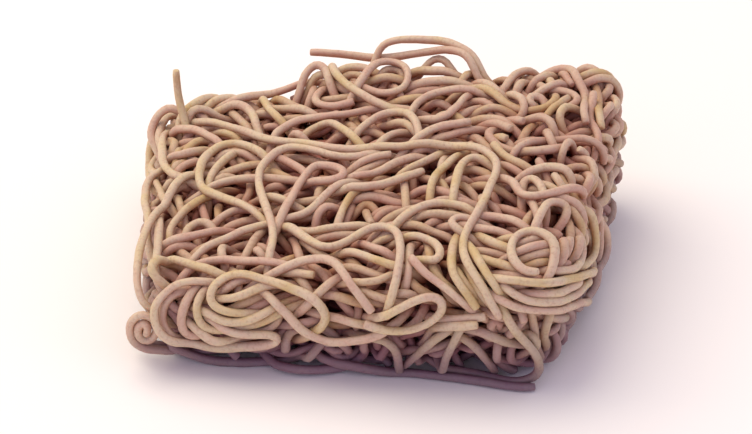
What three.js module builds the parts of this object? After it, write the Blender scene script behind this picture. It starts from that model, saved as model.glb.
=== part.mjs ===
// A block of dried whole wheat noodles: long round strands folded into a tray, steamed and dried
// until they hold together as one rough, cushion-shaped block. It is thinner along its left side
// and thicker to the right and the back, and its plan is an uneven four-sided shape.
// The heap of strands is one closed solid, out to its uneven outline.
//
// Units are millimetres. +Z is up, the block lies on z = 0 and +X runs along its longer side.
// The origin is at the centre of its bounding box, on the face that it lies on.

import * as THREE from "three";
import { mergeVertices } from "three/addons/utils/BufferGeometryUtils.js";

// Driving dimensions. Each corner of the block has its place in plan and its thickness.
const STRAND_DIAMETER = 1.65;
const CORNERS = {
  frontLeft: { x: -40, y: -37.5, thickness: 18 },
  frontRight: { x: 36, y: -39.5, thickness: 29 },
  backRight: { x: 48, y: 37.5, thickness: 34 },
  backLeft: { x: -48, y: 35.5, thickness: 20.5 },
};
const PLAN_ROUNDING = 8; // radius of the upright corners
const TOP_ROUNDING = 6; // radius where the top turns down into the sides
const BASE_ROUNDING = 5; // radius where the sides turn in under the block
const CROWN = 1.6; // how far the middle of the top stands above its edges
const SIDE_SWELL = 1.5; // how far the middle of each side stands out past its corners
// Where the strands piled up higher while they dried, or sank: place in plan, reach and rise.
const MOUNDS = [
  { x: -12.5, y: 36, reach: { x: 5.5, y: 9 }, rise: 4.2 },
  { x: -2, y: 37, reach: { x: 8, y: 10 }, rise: 4.4 },
  { x: 9, y: 38, reach: { x: 8, y: 9 }, rise: 1.8 },
  { x: -27, y: 37, reach: { x: 9, y: 9 }, rise: -2.6 },
];

// The relief: strands run side by side in bundles, which cross each other in several directions.
const BUNDLE_WIDTH = 4.5 * STRAND_DIAMETER;
const BUNDLE_RELIEF = 1.3 * STRAND_DIAMETER;
const BUNDLE_SLANT = 0.4; // how far a bundle climbs a side for each millimetre that it runs along
const BUNDLE_WAVE = { width: 4, length: 64 }; // how far and how often a bundle swings to the side
const BUNDLE_DIRECTIONS = [8, 67, 128]; // degrees in plan, from +X
const BUNDLE_CROSSING = 4; // how sharply one bundle takes over from another where they cross
const LUMP_WIDTH = 38; // the slow swell and dip of the whole heap
const LUMP_RELIEF = 0.5 * STRAND_DIAMETER;

// How finely the surface is divided along the length, the depth and the height.
const DIVISIONS = { length: 42, depth: 36, height: 12 };

const { clamp, degToRad, euclideanModulo, lerp, smoothstep } = THREE.MathUtils;

// One property of the corners, blended over the plan: u runs left to right, v front to back.
function overPlan(property, u, v) {
  const front = lerp(CORNERS.frontLeft[property], CORNERS.frontRight[property], u);
  const back = lerp(CORNERS.backLeft[property], CORNERS.backRight[property], u);
  return lerp(front, back, v);
}

// How much higher the top is at a place in plan, for the mounds and the sunken places.
function moundRise(x, y) {
  return MOUNDS.reduce((sum, mound) => {
    const fromX = (x - mound.x) / mound.reach.x;
    const fromY = (y - mound.y) / mound.reach.y;
    return sum + mound.rise * Math.exp(-fromX * fromX - fromY * fromY);
  }, 0);
}

// A smooth wandering value from -1 to 1 in space: three slanted waves, each bent by the one before.
function wander(point, width, phase) {
  const k = (2 * Math.PI) / width;
  const a = Math.sin(k * (0.9 * point.x + 0.35 * point.y + 0.3 * point.z) + phase);
  const b = Math.sin(k * (-0.4 * point.x + 0.85 * point.y + 0.45 * point.z) + 1.7 * a + 2 * phase);
  const c = Math.sin(k * (0.3 * point.x - 0.5 * point.y + 0.9 * point.z) + 1.3 * b + 3 * phase);
  return (a + b + c) / 3;
}

// The round backs of the bundles at a point, from 0 in a furrow to 1 along a ridge. Where bundles
// of different directions cross, the one that lies higher there counts for the most.
function bundleRidges(point) {
  let ridges = 0;
  let shares = 0;
  BUNDLE_DIRECTIONS.forEach((degrees, index) => {
    const turn = degToRad(degrees);
    const swing = BUNDLE_WAVE.width * wander(point, BUNDLE_WAVE.length, index);
    const inPlan = point.y * Math.cos(turn) - point.x * Math.sin(turn);
    const across = inPlan + BUNDLE_SLANT * point.z + swing;
    const fromRidge = euclideanModulo(across / BUNDLE_WIDTH, 1) - 0.5;
    const share = Math.exp(BUNDLE_CROSSING * wander(point, LUMP_WIDTH, 4 + index));
    ridges += share * Math.cos(Math.PI * fromRidge);
    shares += share;
  });
  return ridges / shares;
}

// A box whose sides run from -1 to 1 is rounded: each point is drawn back to an inner box and
// pushed out again by the corner radius, given for each axis as a share of the half side.
function roundedPoint(p, radius) {
  const inner = new THREE.Vector3(
    clamp(p.x, radius.x - 1, 1 - radius.x),
    clamp(p.y, radius.y - 1, 1 - radius.y),
    clamp(p.z, radius.z - 1, 1 - radius.z),
  );
  const direction = p.clone().sub(inner).divide(radius).normalize();
  return { place: inner.add(direction.clone().multiply(radius)), direction };
}

// One point on the surface of the unit box becomes a point on the surface of the noodle block.
function blockPoint(unit) {
  const halfLength = (CORNERS.backRight.x - CORNERS.backLeft.x) / 2;
  const halfDepth = (CORNERS.backRight.y - CORNERS.frontRight.y) / 2;
  const halfHeight = overPlan("thickness", 0.5, 0.5) / 2;
  const edge = unit.z > 0 ? TOP_ROUNDING : BASE_ROUNDING;
  const radius = new THREE.Vector3(
    PLAN_ROUNDING / halfLength,
    PLAN_ROUNDING / halfDepth,
    edge / halfHeight,
  );
  const { place, direction } = roundedPoint(unit, radius);
  const u = (place.x + 1) / 2;
  const v = (place.y + 1) / 2;
  const middle = Math.cos((Math.PI / 2) * place.x) * Math.cos((Math.PI / 2) * place.y);
  const x = overPlan("x", u, v) + SIDE_SWELL * place.x * (1 - place.y * place.y);
  const y = overPlan("y", u, v) + SIDE_SWELL * place.y * (1 - place.x * place.x);
  const thickness = overPlan("thickness", u, v) + CROWN * middle + moundRise(x, y);
  const point = new THREE.Vector3(x, y, (thickness * (place.z + 1)) / 2);

  // The relief fades out towards the face that the block lies on, which stays flat.
  const share = smoothstep(point.z, 0, BASE_ROUNDING);
  const bundles = BUNDLE_RELIEF * (bundleRidges(point) - 0.5);
  const lumps = LUMP_RELIEF * wander(point, LUMP_WIDTH, 2.1);
  return point.addScaledVector(direction, share * (bundles + lumps));
}

function noodleBlock() {
  const box = new THREE.BoxGeometry(2, 2, 2, DIVISIONS.length, DIVISIONS.depth, DIVISIONS.height);
  box.deleteAttribute("normal");
  box.deleteAttribute("uv");
  const geometry = mergeVertices(box);
  const position = geometry.getAttribute("position");
  const unit = new THREE.Vector3();
  for (let i = 0; i < position.count; i += 1) {
    unit.fromBufferAttribute(position, i);
    const point = blockPoint(unit);
    position.setXYZ(i, point.x, point.y, Math.max(point.z, 0));
  }
  geometry.computeBoundingBox();
  const { min } = geometry.boundingBox;
  const middle = geometry.boundingBox.getCenter(new THREE.Vector3());
  geometry.translate(-middle.x, -middle.y, -min.z);
  geometry.computeVertexNormals();
  return geometry;
}

const driedWheatDough = new THREE.MeshStandardMaterial({
  color: 0xcfae8c,
  roughness: 0.75,
  metalness: 0,
});

const block = new THREE.Mesh(noodleBlock(), driedWheatDough);
block.name = "noodle_block";

const noodles = new THREE.Group();
noodles.name = "dried_whole_wheat_noodles";
noodles.add(block);

export default noodles;
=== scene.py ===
# %% [markdown]
# # A block of dried whole wheat noodles
# A nest of long round strands, folded into a tray, steamed and dried until they hold together as
# one rough cushion. The imported model gives its outline as one closed solid. Here that solid is
# swapped for the strands themselves, each one a real tube that lies on its neighbours.
# The steps are: read the solid as a distance field, lay the strands that show one by one, let the
# rest find their own way through the block, push them all apart until they lie on each other, and
# turn the lines into tubes with Geometry Nodes.

import math

import bmesh
import bpy
import numpy as np
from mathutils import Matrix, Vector
from mathutils.bvhtree import BVHTree


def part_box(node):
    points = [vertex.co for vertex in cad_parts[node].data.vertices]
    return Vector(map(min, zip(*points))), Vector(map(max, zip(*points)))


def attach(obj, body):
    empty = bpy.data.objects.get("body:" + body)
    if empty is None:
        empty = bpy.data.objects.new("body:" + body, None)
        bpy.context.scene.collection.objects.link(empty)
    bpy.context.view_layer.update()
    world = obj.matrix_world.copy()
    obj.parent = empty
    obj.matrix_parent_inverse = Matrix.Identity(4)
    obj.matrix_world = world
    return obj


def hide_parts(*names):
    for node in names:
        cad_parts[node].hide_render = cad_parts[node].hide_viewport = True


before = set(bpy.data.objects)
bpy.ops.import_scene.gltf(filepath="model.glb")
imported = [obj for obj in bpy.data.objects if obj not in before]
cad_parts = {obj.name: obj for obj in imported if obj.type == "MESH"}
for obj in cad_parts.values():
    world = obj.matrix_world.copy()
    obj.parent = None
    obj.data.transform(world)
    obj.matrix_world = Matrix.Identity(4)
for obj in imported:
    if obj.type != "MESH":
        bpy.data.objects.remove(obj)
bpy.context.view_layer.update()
MM = 0.001  # one millimetre in metres: the strands are worked out in millimetres

# %% [markdown]
# ## The room that the strands have
# A distance field says, for any point, how far it is from the outline: negative inside, positive
# outside. The CAD solid could be asked directly for each point, but thousands of points ask
# hundreds of times, so the answer is stored once on a grid of points 2 mm apart.

# %% Store the distance to the outline on a grid
CELL = 2.0  # mm between grid points
ROOM = 12.0  # mm of grid outside the block

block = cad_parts["noodle_block"]
block_points = [vertex.co / MM for vertex in block.data.vertices]
block_faces = [tuple(face.vertices) for face in block.data.polygons]
outline = BVHTree.FromPolygons(block_points, block_faces)

BLOCK_LOW, BLOCK_HIGH = (np.array(corner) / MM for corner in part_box("noodle_block"))
GRID_START = BLOCK_LOW - ROOM
GRID_SHAPE = tuple(np.ceil((BLOCK_HIGH - BLOCK_LOW + 2 * ROOM) / CELL).astype(int) + 1)
field = np.zeros(GRID_SHAPE)
for index in np.ndindex(GRID_SHAPE):
    point = Vector(GRID_START + CELL * np.array(index))
    nearest, normal, _, distance = outline.find_nearest(point)
    field[index] = distance if (point - nearest).dot(normal) > 0 else -distance
print("grid of", GRID_SHAPE, "deepest point", round(-field.min(), 1), "mm inside")

# %% [markdown]
# ## A softer field
# Real strands follow the sweep of a block's face and not each furrow in it, so the field is
# softened a little. The mesh could be smoothed before it is measured, but the stored numbers are
# softened more simply: each one is blended with its neighbours. The slope of the field is stored
# as well, because it points straight out of the block.

# %% Soften the field
def soften(grid, rounds):
    """Blends each value with its neighbours along the three axes."""
    for _ in range(rounds):
        for axis in range(3):
            before = np.roll(grid, 1, axis)
            after = np.roll(grid, -1, axis)
            grid = 0.25 * before + 0.5 * grid + 0.25 * after
    return grid


field = soften(field, rounds=1)
slope = np.stack(np.gradient(field, CELL), axis=-1)
print("softened, deepest point", round(-field.min(), 1), "mm inside")

# %% [markdown]
# ## Reading the field
# A place seldom falls on a grid point, so its value is blended from the eight that surround it.
# The nearest one alone would be quicker to read, but its value jumps from cell to cell, and
# strands that steer by it would jerk.

# %% Read a grid between its points
EDGE = 1.001  # cells that a place keeps from the last grid point, so that it has eight around it


def read_grid(grid, points):
    """The grid's value at each point, blended from the eight grid points around it."""
    place = (points - GRID_START) / CELL
    place = np.clip(place, 0, np.array(grid.shape[:3]) - EDGE)
    corner = place.astype(int)
    share = place - corner
    total = 0
    for step in np.ndindex(2, 2, 2):
        weight = np.prod(np.where(step, share, 1 - share), axis=1)
        i, j, k = (corner + step).T
        value = grid[i, j, k]
        total = total + (value * weight if value.ndim == 1 else value * weight[:, None])
    return total


def unit(vectors):
    """The same directions, each one long."""
    return vectors / np.maximum(np.linalg.norm(vectors, axis=-1, keepdims=True), 1e-9)


def outward(points):
    """The direction straight out of the block at each point."""
    return unit(read_grid(slope, points))


above = np.array([[0.0, 0.0, BLOCK_HIGH[2]]])
print("over the middle of the top, out is", outward(above)[0].round(2))

# %% [markdown]
# ## The strands that show
# On a real block the eye follows single strands: a long wave across the top that forks as it
# drops over the front, an open loop at the left, hairpins where a strand turned back against the
# tray. Chance would never lay those where they are, so they are laid one by one, as a cook would
# lay them: a few places in millimetres that the strand goes through, on the top (x, y), the front
# (x, z), the left or right end (y, z), or free in the air (x, y, z). Each route starts with its
# level, and the higher one lies on top where two strands cross. An end is tucked under its
# neighbours, unless "cut" says that it shows.
# The first ones are the long strands: the wave, and the loops that hang from it.

# %% Lay the long strands on the top
LONG = [
    (5, "top", (-39, 23.5), (-36, 20.5), (-30.5, 18), (-25, 12.5), (-20.5, 10), (-18, 9.5),
     (-13, 7), (-7.5, 4), (-1, 4.5), (3.5, 5), (8.5, 5), (13.5, 5.5), (18, 3.5), (22, 1),
     (24, -4.5), (21, -18.5), (18.5, -25.5), (19, -32), (20.5, -34.5), (23, -37), "front",
     (25, 21.5), (27, 17.5), "cut"),
    (3, "top", (-19, 11.5), (-17.5, 12.5), (-15.5, 17), (-13.5, 18), (-9.5, 16), (-3.5, 7.5)),
    (4, "top", (-22, 12), (-20, 17), (-16.5, 19), (-12, 19.5), (-9.5, 19), (-0.5, 21.5),
     (5.5, 20.5)),
    (5, "top", (0.5, 2.5), (-6, 0.5), (-12, 5), (-16.5, 7), (-18.5, 7), (-21.5, 3.5),
     (-22.5, 0.5), (-21.5, -6.5), (-17.5, -17.5), (-16.5, -25), (-17, -30)),
    (4, "top", (-22, 5.5), (-26, 10), (-30, 11.5), (-33.5, 9.5), (-34.5, 3.5), (-34, -2),
     (-31, -6.5), (-27, -8.5), (-23, -12.5), (-19.5, -16)),
    (3, "top", (-33, -3), (-29, -1.5), (-24, -1), (-14, -4)),
    (3, "top", (-33, -2.5), (-32.5, 2), (-28.5, 7.5), "cut"),
    (5, "top", (-17.5, -17), (-16.5, -14.5), (-15, -9.5), (-11.5, -0.5), (-10.5, -0.5), (-5, -3),
     (-5.5, -6.5), (-8.5, -7), (-12.5, -5.5)),
    (4, "top", (-33, -28), (-32, -26.5), (-29, -24), (-26, -21), (-24, -20), (-18, -16),
     (-14, -16), (-10.5, -14.5), (-8, -10.5), (-4, -6)),
    (3, "top", (-5.5, -18.5), (-4.5, -10.5), (-2, -6)),
    (2, "top", (-17.5, -10.5), (-15.5, -9.5), (-11, -10), (-9.5, -9.5)),
]
print(len(LONG), "strands")

# %% [markdown]
# ## The left corner
# The block hung against the wall of its tray here, so strands run down over the edge, and some
# came loose: an open loop, a stub that stands up, and a curl at the foot that is rolled up like a
# watch spring. What stands off the block has no face under it, so its places are free in the air.

# %% Lay the left corner and its loose loops
LEFT = [
    (3, "top", (-42.5, 22.5), (-40, 21.5), (-35, 16), (-31, 10.5)),
    (2, "left", (27.5, 14.5), "top", (-45, 23), (-42, 20), (-41.5, 16.5), (-43, 14.5)),
    (3, "left", (22.5, 17), "top", (-42, 9), (-38.5, 3), (-34.5, 0.5)),
    (3, "left", (23, 11), (21.5, 10), (7, 16.5), "top", (-41, -4), (-39.5, -6.5)),
    (4, "top", (-41, -10), (-39.5, -13.5), (-38.5, -20.5), (-37.5, -27), (-37.5, -30)),
    (4, "top", (-28, -32), (-32.5, -29), (-36.5, -25.5), "free", (-38, -29, 20.5),
     (-39.5, -32.5, 20.5), (-39.5, -33.5, 19.5), (-38, -33.5, 18.5)),
    (4, "top", (-35.5, 0.5), (-37, 0), (-38.5, -3), (-39.5, -6.5), "free", (-41.5, -12, 19.3),
     (-42.5, -20, 20), (-42.5, -27, 18.6), (-41.5, -32.5, 15.8), (-39.5, -34.5, 12.2)),
    (4, "left", (5.5, 17), (3.5, 16), (2, 14.5), (-5.5, 17), (-9, 16.5), "top", (-42.5, -14.5),
     (-40, -24)),
    (4, "left", (28, 15), (24.5, 12), (21, 9), (4.5, 16)),
    (4, "free", (-42, 27, 22), (-45, 27, 20), (-46.5, 26, 17), (-47, 23, 14.5)),
    (3, "top", (-43, 32), (-44, 32), (-44.5, 26.5), "left", (22.5, 16.5)),
    (5, "free", "cut", (-43, 28, 29), (-43, 28, 24.5), (-42, 26, 20.5)),
    (4, "free", (-36.5, -33, 3.7), (-39.3, -34.5, 4.4), (-41.3, -35.5, 5), (-43, -35.5, 7),
     (-43.4, -35.5, 9.6), (-42.4, -36, 12.2), (-40.4, -36, 13.6), (-38.4, -36, 12.4),
     (-37.6, -36, 9.6), (-38.6, -36, 7), (-40.4, -36, 6), (-41.9, -36, 7.2), (-42.2, -36, 9.6),
     (-41, -36, 11.9), (-39.5, -36, 11), (-39.3, -36, 8.8), (-40.4, -36.2, 8), "cut"),
    (2, "free", "cut", (-41.8, -34.2, 10.5), (-42.2, -34.2, 6), (-41.5, -34, 4.4),
     (-40.7, -34.2, 6), (-40.6, -34.2, 11), (-39.5, -33.5, 12.5)),
]
print(len(LEFT), "strands")

# %% [markdown]
# ## Left of the long strands
# Short arcs fill the room between the open loop and the long strands. Each one shows for only a
# few centimetres, so three or four places are enough, and low levels keep them under the rest.

# %% Lay the short arcs left of the long strands
LEFT_MIDDLE = [
    (3, "top", (-33, -5.5), (-35.5, -9), (-38, -12.5), (-38, -18.5)),
    (3, "top", (-35, -17), (-34.5, -14.5), (-30, -13), (-29, -15)),
    (3, "top", (-38.5, -19.5), (-33.5, -19.5), (-31.5, -18), (-28.5, -16.5)),
    (2, "top", (-33.5, -21.5), (-29.5, -19), (-25.5, -17)),
    (2, "top", (-29, -13), (-26.5, -10), (-24.5, -10)),
    (2, "top", (-28.5, -15.5), (-25, -13.5), (-22.5, -13.5)),
    (2, "top", (-33.5, -4.5), (-32.5, -8), (-31.5, -11.5)),
    (2, "top", (-31.5, -5.5), (-30.5, -8.5), (-29.5, -11)),
    (2, "top", (-39.5, -3.5), (-38, -6.5), (-37, -10)),
]
print(len(LEFT_MIDDLE), "strands")

# %% [markdown]
# ## The mound at the back
# The last of the batch fell on the back of the block: loops stand higher there, and behind them
# two strands bow up through the air. A heap like that could be dropped by simulation, but each of
# its loops is seen from afar, so they are placed one by one.

# %% Lay the mound at the back
BACK = [
    (3, "top", (-42.5, 24.5), (-39.5, 28.5), (-36, 34), (-33.5, 34)),
    (3, "top", (-33.5, 29.5), (-32.5, 29.5), (-28.5, 27.5), (-27, 25.5), (-26, 21),
     (-24.5, 15.5)),
    (2, "top", (-35.5, 34), (-32, 26), (-30, 24.5), (-27, 18.5)),
    (3, "top", (-25.5, 31.5), (-22.5, 22.5), (-19.5, 18.5)),
    (3, "free", (-38, 29.5, 19.5), (-36, 31, 20.5), (-31.5, 32.5, 20.5), (-28.5, 31, 20)),
    (4, "top", (-32.5, 30.5), (-30, 30), (-27.5, 31), (-25, 33.5), (-23, 33.5), (-16.5, 34)),
    (3, "free", (-41.5, 27, 21), (-40.5, 28, 21.5), (-37.5, 29.5, 21), (-36, 29.5, 20.5)),
    (3, "top", (-25, 29), (-20, 26), (-17, 23), (-14.5, 21.5)),
    (2, "top", (-24, 33), (-21, 29.5), (-18.5, 28), (-15, 24.5)),
    (2, "top", (-21, 24), (-19, 22.5), (-15, 23.5)),
    (4, "free", (-19, 32.5, 25), (-17, 35, 27), (-14.5, 35.5, 28), (-12.5, 34, 27),
     (-12, 32.5, 26)),
    (3, "free", (-16.5, 32.5, 26), (-16, 33.5, 26.5), (-13, 34, 27.5), (-11.5, 33.5, 27.5)),
    (5, "top", (-11.5, 35.5), (-11, 33), (-8.5, 29), (-4.5, 25.5), (-0.5, 21), (1.5, 20.5)),
    (5, "top", (-7, 26), (-6, 27.5), (-4.5, 32), (-3, 33.5), (1, 35.5), (4, 30.5), (3.5, 27),
     (0, 25.5), (-3.5, 27), (-5, 28.5)),
    (4, "top", (-12, 35), (-8.5, 36), (-5.5, 35.5)),
    (2, "top", (-10.5, 34.5), (-9, 35.5), (-5.5, 32.5)),
    (4, "top", (-13.5, 29.5), (-14.5, 28), (-12.5, 24), (-7, 23.5), (-6, 24), "cut"),
    (2, "top", (-5.5, 25.5), (-4, 25), (-2.5, 23.5)),
    (2, "top", (-4, 31.5), (-2.5, 34), (-0.5, 35.5), (1.5, 35), (2.5, 31.5)),
    (2, "top", (-4, 30), (1, 30), (3, 29.5)),
    (2, "top", (-13, 28), (-11, 27), (-5.5, 27)),
    (1, "top", (-15, 33.5), (-13, 32.5), (-10, 29.5), (-7.5, 28.5)),
    (3, "top", (4.5, 36), (6.5, 35.5), (8.5, 34), (13, 33.5)),
    (3, "top", (4.5, 29.5), (8.5, 30), (13, 29.5)),
    (4, "top", (6, 19), (7.5, 22), (11.5, 24), (16.5, 24.5)),
    (2, "top", (4, 27), (8, 28.5), (12.5, 28.5)),
    (2, "top", (2.5, 25.5), (5, 25), (7.5, 26.5)),
    (5, "free", "cut", (-17, 39.5, 29), (-12, 39.5, 29), (-2, 39, 28.5), (0.5, 38.5, 29.5),
     (7.5, 38.5, 31), (11.5, 37.5, 32.5), (17, 33, 33.5)),
    (5, "free", (-4.5, 38.5, 29), (-3, 39.5, 31.5), (0.5, 39.5, 32.5), (6, 39.5, 32.5),
     (11, 38.5, 33), (15.5, 36, 32.5), (18, 34, 32)),
    (4, "free", (6, 38, 28.5), (7, 38, 29.5), (10, 37.5, 30), (11.5, 36.5, 29)),
]
print(len(BACK), "strands")

# %% [markdown]
# ## Inside the loops
# Every loop of the long strands frames a small window, and in each window the next layer shows.
# Most of its pieces are laid two or three levels down.

# %% Lay what runs behind the wave and inside the loops
BETWEEN = [
    (3, "top", (9, 17), (9.5, 19), (11, 19.5), (14.5, 16)),
    (3, "top", (6, 17), (9, 15.5), (12.5, 14.5), (16, 24)),
    (4, "top", (-5, 11.5), (-2, 16.5), (2, 19.5), (4, 19), (7, 14.5), (8, 9)),
    (5, "top", (6, 6), (11, 10.5), (17.5, 12), "cut"),
    (3, "top", (8.5, 7.5), (13, 9), (17, 11.5)),
    (2, "top", (-8, 14.5), (-6, 15.5), (0, 15), (2, 13.5)),
    (2, "top", (-3, 10.5), (0, 12.5), (2, 13)),
    (3, "top", (0, 7.5), (1, 10), (4.5, 12.5)),
    (2, "top", (2, 17), (3.5, 16.5), (6.5, 11.5)),
    (2, "top", (-4.5, 8.5), (-3.5, 12), (-2.5, 14.5)),
    (3, "top", (-20.5, 5.5), (-16.5, 2), (-13, -2.5)),
    (2, "top", (-21.5, 4.5), (-19.5, 3), (-15, -1)),
    (2, "top", (-19.5, 7.5), (-14, 5.5), (-9.5, 3)),
    (3, "top", (-21, -7), (-19, -8), (-15, -10)),
    (2, "top", (-32, -4), (-29.5, -5), (-26, -6.5)),
    (2, "top", (-33, 8.5), (-31.5, 10), (-27, 10), (-25, 8.5)),
    (2, "top", (-32.5, 2), (-30.5, 3.5), (-24.5, 5.5)),
    (2, "top", (-43, 11), (-39.5, 10.5), (-37, 10.5), (-35.5, 12.5)),
    (2, "top", (-39.5, 5.5), (-38, 7.5), (-35, 9)),
    (2, "top", (-39, 12), (-36.5, 16.5), (-34.5, 16)),
    (3, "top", (-5, -3), (-1.5, 0.5), (2, 3), "cut"),
    (3, "top", (-17, -6.5), (-16, -6), (-14.5, -5)),
    (2, "top", (-3, -12), (-2.5, -10.5), (-1, -10), (0, -12)),
]
print(len(BETWEEN), "strands")

# %% [markdown]
# ## The front edge
# Where the top turns over into the front, strands run along the edge before they drop. They are
# short, and hold the long ones up.

# %% Lay the front edge of the top
FRONT_EDGE = [
    (3, "top", (-19.5, -17), (-20.5, -20.5), (-23, -26.5)),
    (2, "top", (-16, -17.5), (-14, -21), (-12, -29)),
    (2, "top", (-13, -21.5), (-9, -28), (-7, -28.5)),
    (4, "top", (-16, -18), (-11.5, -20.5), (-6.5, -20.5), (-4.5, -19.5), (0, -19.5)),
    (2, "top", (-10, -22), (-3.5, -20.5), (-2, -20.5)),
    (2, "top", (-30.5, -9.5), (-27.5, -9.5), (-25.5, -11.5)),
    (3, "top", (-18.5, -30.5), (-16.5, -30.5), (-13.5, -29), (-13, -27)),
    (2, "top", (-36, -21), (-34.5, -22.5), (-30.5, -28)),
    (2, "top", (-39.5, -11.5), (-37.5, -14.5), (-36.5, -18)),
    (2, "top", (-7.5, -24.5), (-5.5, -23.5), (-3.5, -22)),
]
print(len(FRONT_EDGE), "strands")

# %% [markdown]
# ## The hairpins
# Folding leaves hairpins: at the left of the front, strands run out, turn on a coin's width and
# run back, one inside the other. A turn like that needs a place on each side of it and one at its
# tip, and the smooth line through them does the rest.

# %% Lay the hairpins on the left of the front
FRONT_LEFT = [
    (4, "top", (-33, -28.5), (-31.5, -27), (-26.5, -27), (-22, -28.5), (-19.5, -30), (-15, -31)),
    (5, "top", (-17.5, -33), (-11.5, -31.5), (-7, -31), (-3.5, -33.5), (-1.5, -37), "front",
     (1, 20), (3, 17.5), "cut"),
    (3, "front", (-10, 17), "top", (-6, -36), (-3.5, -34.5)),
    (2, "top", (-12.5, -33.5), (-11, -35.5), "front", (-10, 17)),
    (3, "top", (-15.5, -31.5), (-13.5, -32), (-8.5, -34), "cut"),
    (5, "front", (-7.5, 12), (-5.5, 14.5), (-7, 18.5), "top", (-14, -35), (-16.5, -33.5),
     (-23, -32), (-26.5, -33.5), (-28, -36), "front", (-27, 15), (-21.5, 14.5)),
    (3, "top", (-27, -36), (-23.5, -34.5), (-19.5, -33.5)),
    (3, "front", (-27, 16.5), "top", (-22.5, -36.5), (-19, -34), (-17.5, -34)),
    (2, "front", (-26, 15), (-21, 17.5), "top", (-17.5, -34)),
    (4, "top", (-18, -34.5), (-16.5, -36), "front", (-11, 13.5), (-7.5, 10.5), (-3, 10.5),
     (1.5, 11), (5, 13)),
    (4, "top", (-29.5, -33), (-31.5, -33), (-35.5, -34), "free", (-38, -35.5, 14.7),
     (-38.2, -36.5, 13), (-38, -37.5, 11.5), (-37.5, -38, 10), (-36.5, -38, 8.8), (-35, -38, 8),
     (-33.5, -38, 7.7), "front", (-31, 7.2), (-26, 7.5), (-20.5, 8), (-14, 9.5), (-15.5, 11),
     (-22, 10.5), (-26, 12)),
    (3, "front", (-29, 10.5), (-26, 8.5), (-23.5, 8.5)),
    (3, "top", (-32, -33.5), "front", (-36, 16), (-37, 11.5), (-34.5, 9)),
    (3, "top", (-30.5, -33.5), (-31.5, -35.5), "front", (-33, 13), (-32, 9), (-29, 10)),
    (3, "top", (-28.5, -33.5), "front", (-30, 16), (-29, 10.5), (-25, 12), (-21, 12.5),
     (-14.5, 15.5)),
    (3, "front", (-27, 13), (-22.5, 12.5), (-16.5, 15.5)),
    (2, "front", (-14.5, 15.5), (-15.5, 12), (-19.5, 11)),
    (2, "front", (-22.5, 15), (-20.5, 15.5), "top", (-17, -36)),
    (5, "front", "cut", (1.5, 15), (5.5, 13.5), (10, 14), (14.5, 16.5), (16.5, 20), (14, 21.5),
     (12.5, 21.5), (8, 20), (4, 17)),
    (2, "front", (-8.5, 15.5), (-6, 15), (-1, 15), (1.5, 14)),
    (2, "front", (-8, 18.5), (-3.5, 19), (-1, 18.5)),
    (1, "front", (-6.5, 12), (-4, 11.5), (-1.5, 11)),
]
print(len(FRONT_LEFT), "strands")

# %% [markdown]
# ## The fork
# In the middle, a bundle comes down off the top and splits as it falls over the front. A route
# may change face on its way, so one line of places goes over the edge.

# %% Lay the fork in the middle of the front
FORK = [
    (4, "top", (-16.5, -17.5), (-14.5, -19.5), (-8.5, -27), (-4.5, -28), (3, -21.5), (6, -23.5),
     (7.5, -30.5), (7, -36.5), "front", (6, 20.5), (5.5, 18.5)),
    (2, "top", (7.5, -26.5), (8, -34.5), "front", (7.5, 21.5)),
    (3, "top", (1.5, -21), (5, -19.5), (10.5, -22.5), (13, -22.5), (17, -25)),
    (4, "top", (7, -25), (9.5, -26), (11.5, -26), (15, -30.5), (14.5, -34), (12.5, -32.5)),
    (3, "top", (10.5, -25.5), (13, -34), "front", (17.5, 22)),
    (5, "top", "cut", (9, -33.5), (11.5, -36), "front", (18.5, 21), (21.5, 18.5)),
    (2, "top", (15, -33), (16.5, -37), "front", (19.5, 19.5)),
    (4, "top", (18, -24.5), (17.5, -30.5), (18, -35.5), "front", (20.5, 22), (22.5, 18.5), "cut"),
    (4, "top", (19.5, -27.5), (22, -33), (24.5, -37), "front", (26, 21.5)),
    (3, "top", (19, -33.5), (21.5, -37.5), "front", (23, 20.5)),
    (2, "top", (20.5, -34), (22, -37), "front", (24.5, 19)),
    (3, "top", (0.5, -26.5), (4, -30.5), (6, -32)),
    (4, "top", (-2, -29), (0, -30.5), (4.5, -34.5), (6.5, -35.5)),
    (3, "top", (-1, -32), (3.5, -34.5), (5.5, -35.5)),
    (3, "top", (-1, -36), (3, -37), (6, -36)),
    (2, "top", (-0.5, -37.5), (2, -38), (6, -39)),
    (2, "front", (1, 20), (3, 19.5), (5, 19)),
    (2, "top", (8, -36.5), (10.5, -38), "front", (14, 20.5)),
    (2, "top", (8, -38.5), "front", (10.5, 22), (12.5, 20.5)),
    (3, "top", (1, -26.5), (3, -25), (5, -24)),
    (2, "top", (-2.5, -29.5), (-0.5, -33)),
]
print(len(FORK), "strands")

# %% [markdown]
# ## The right half of the front
# A small ring lies on the corner here, and long strands sweep round it from the front onto the
# right end. The ring and the first sweep take the highest level, and the other sweeps lie side by
# side below them.

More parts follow.
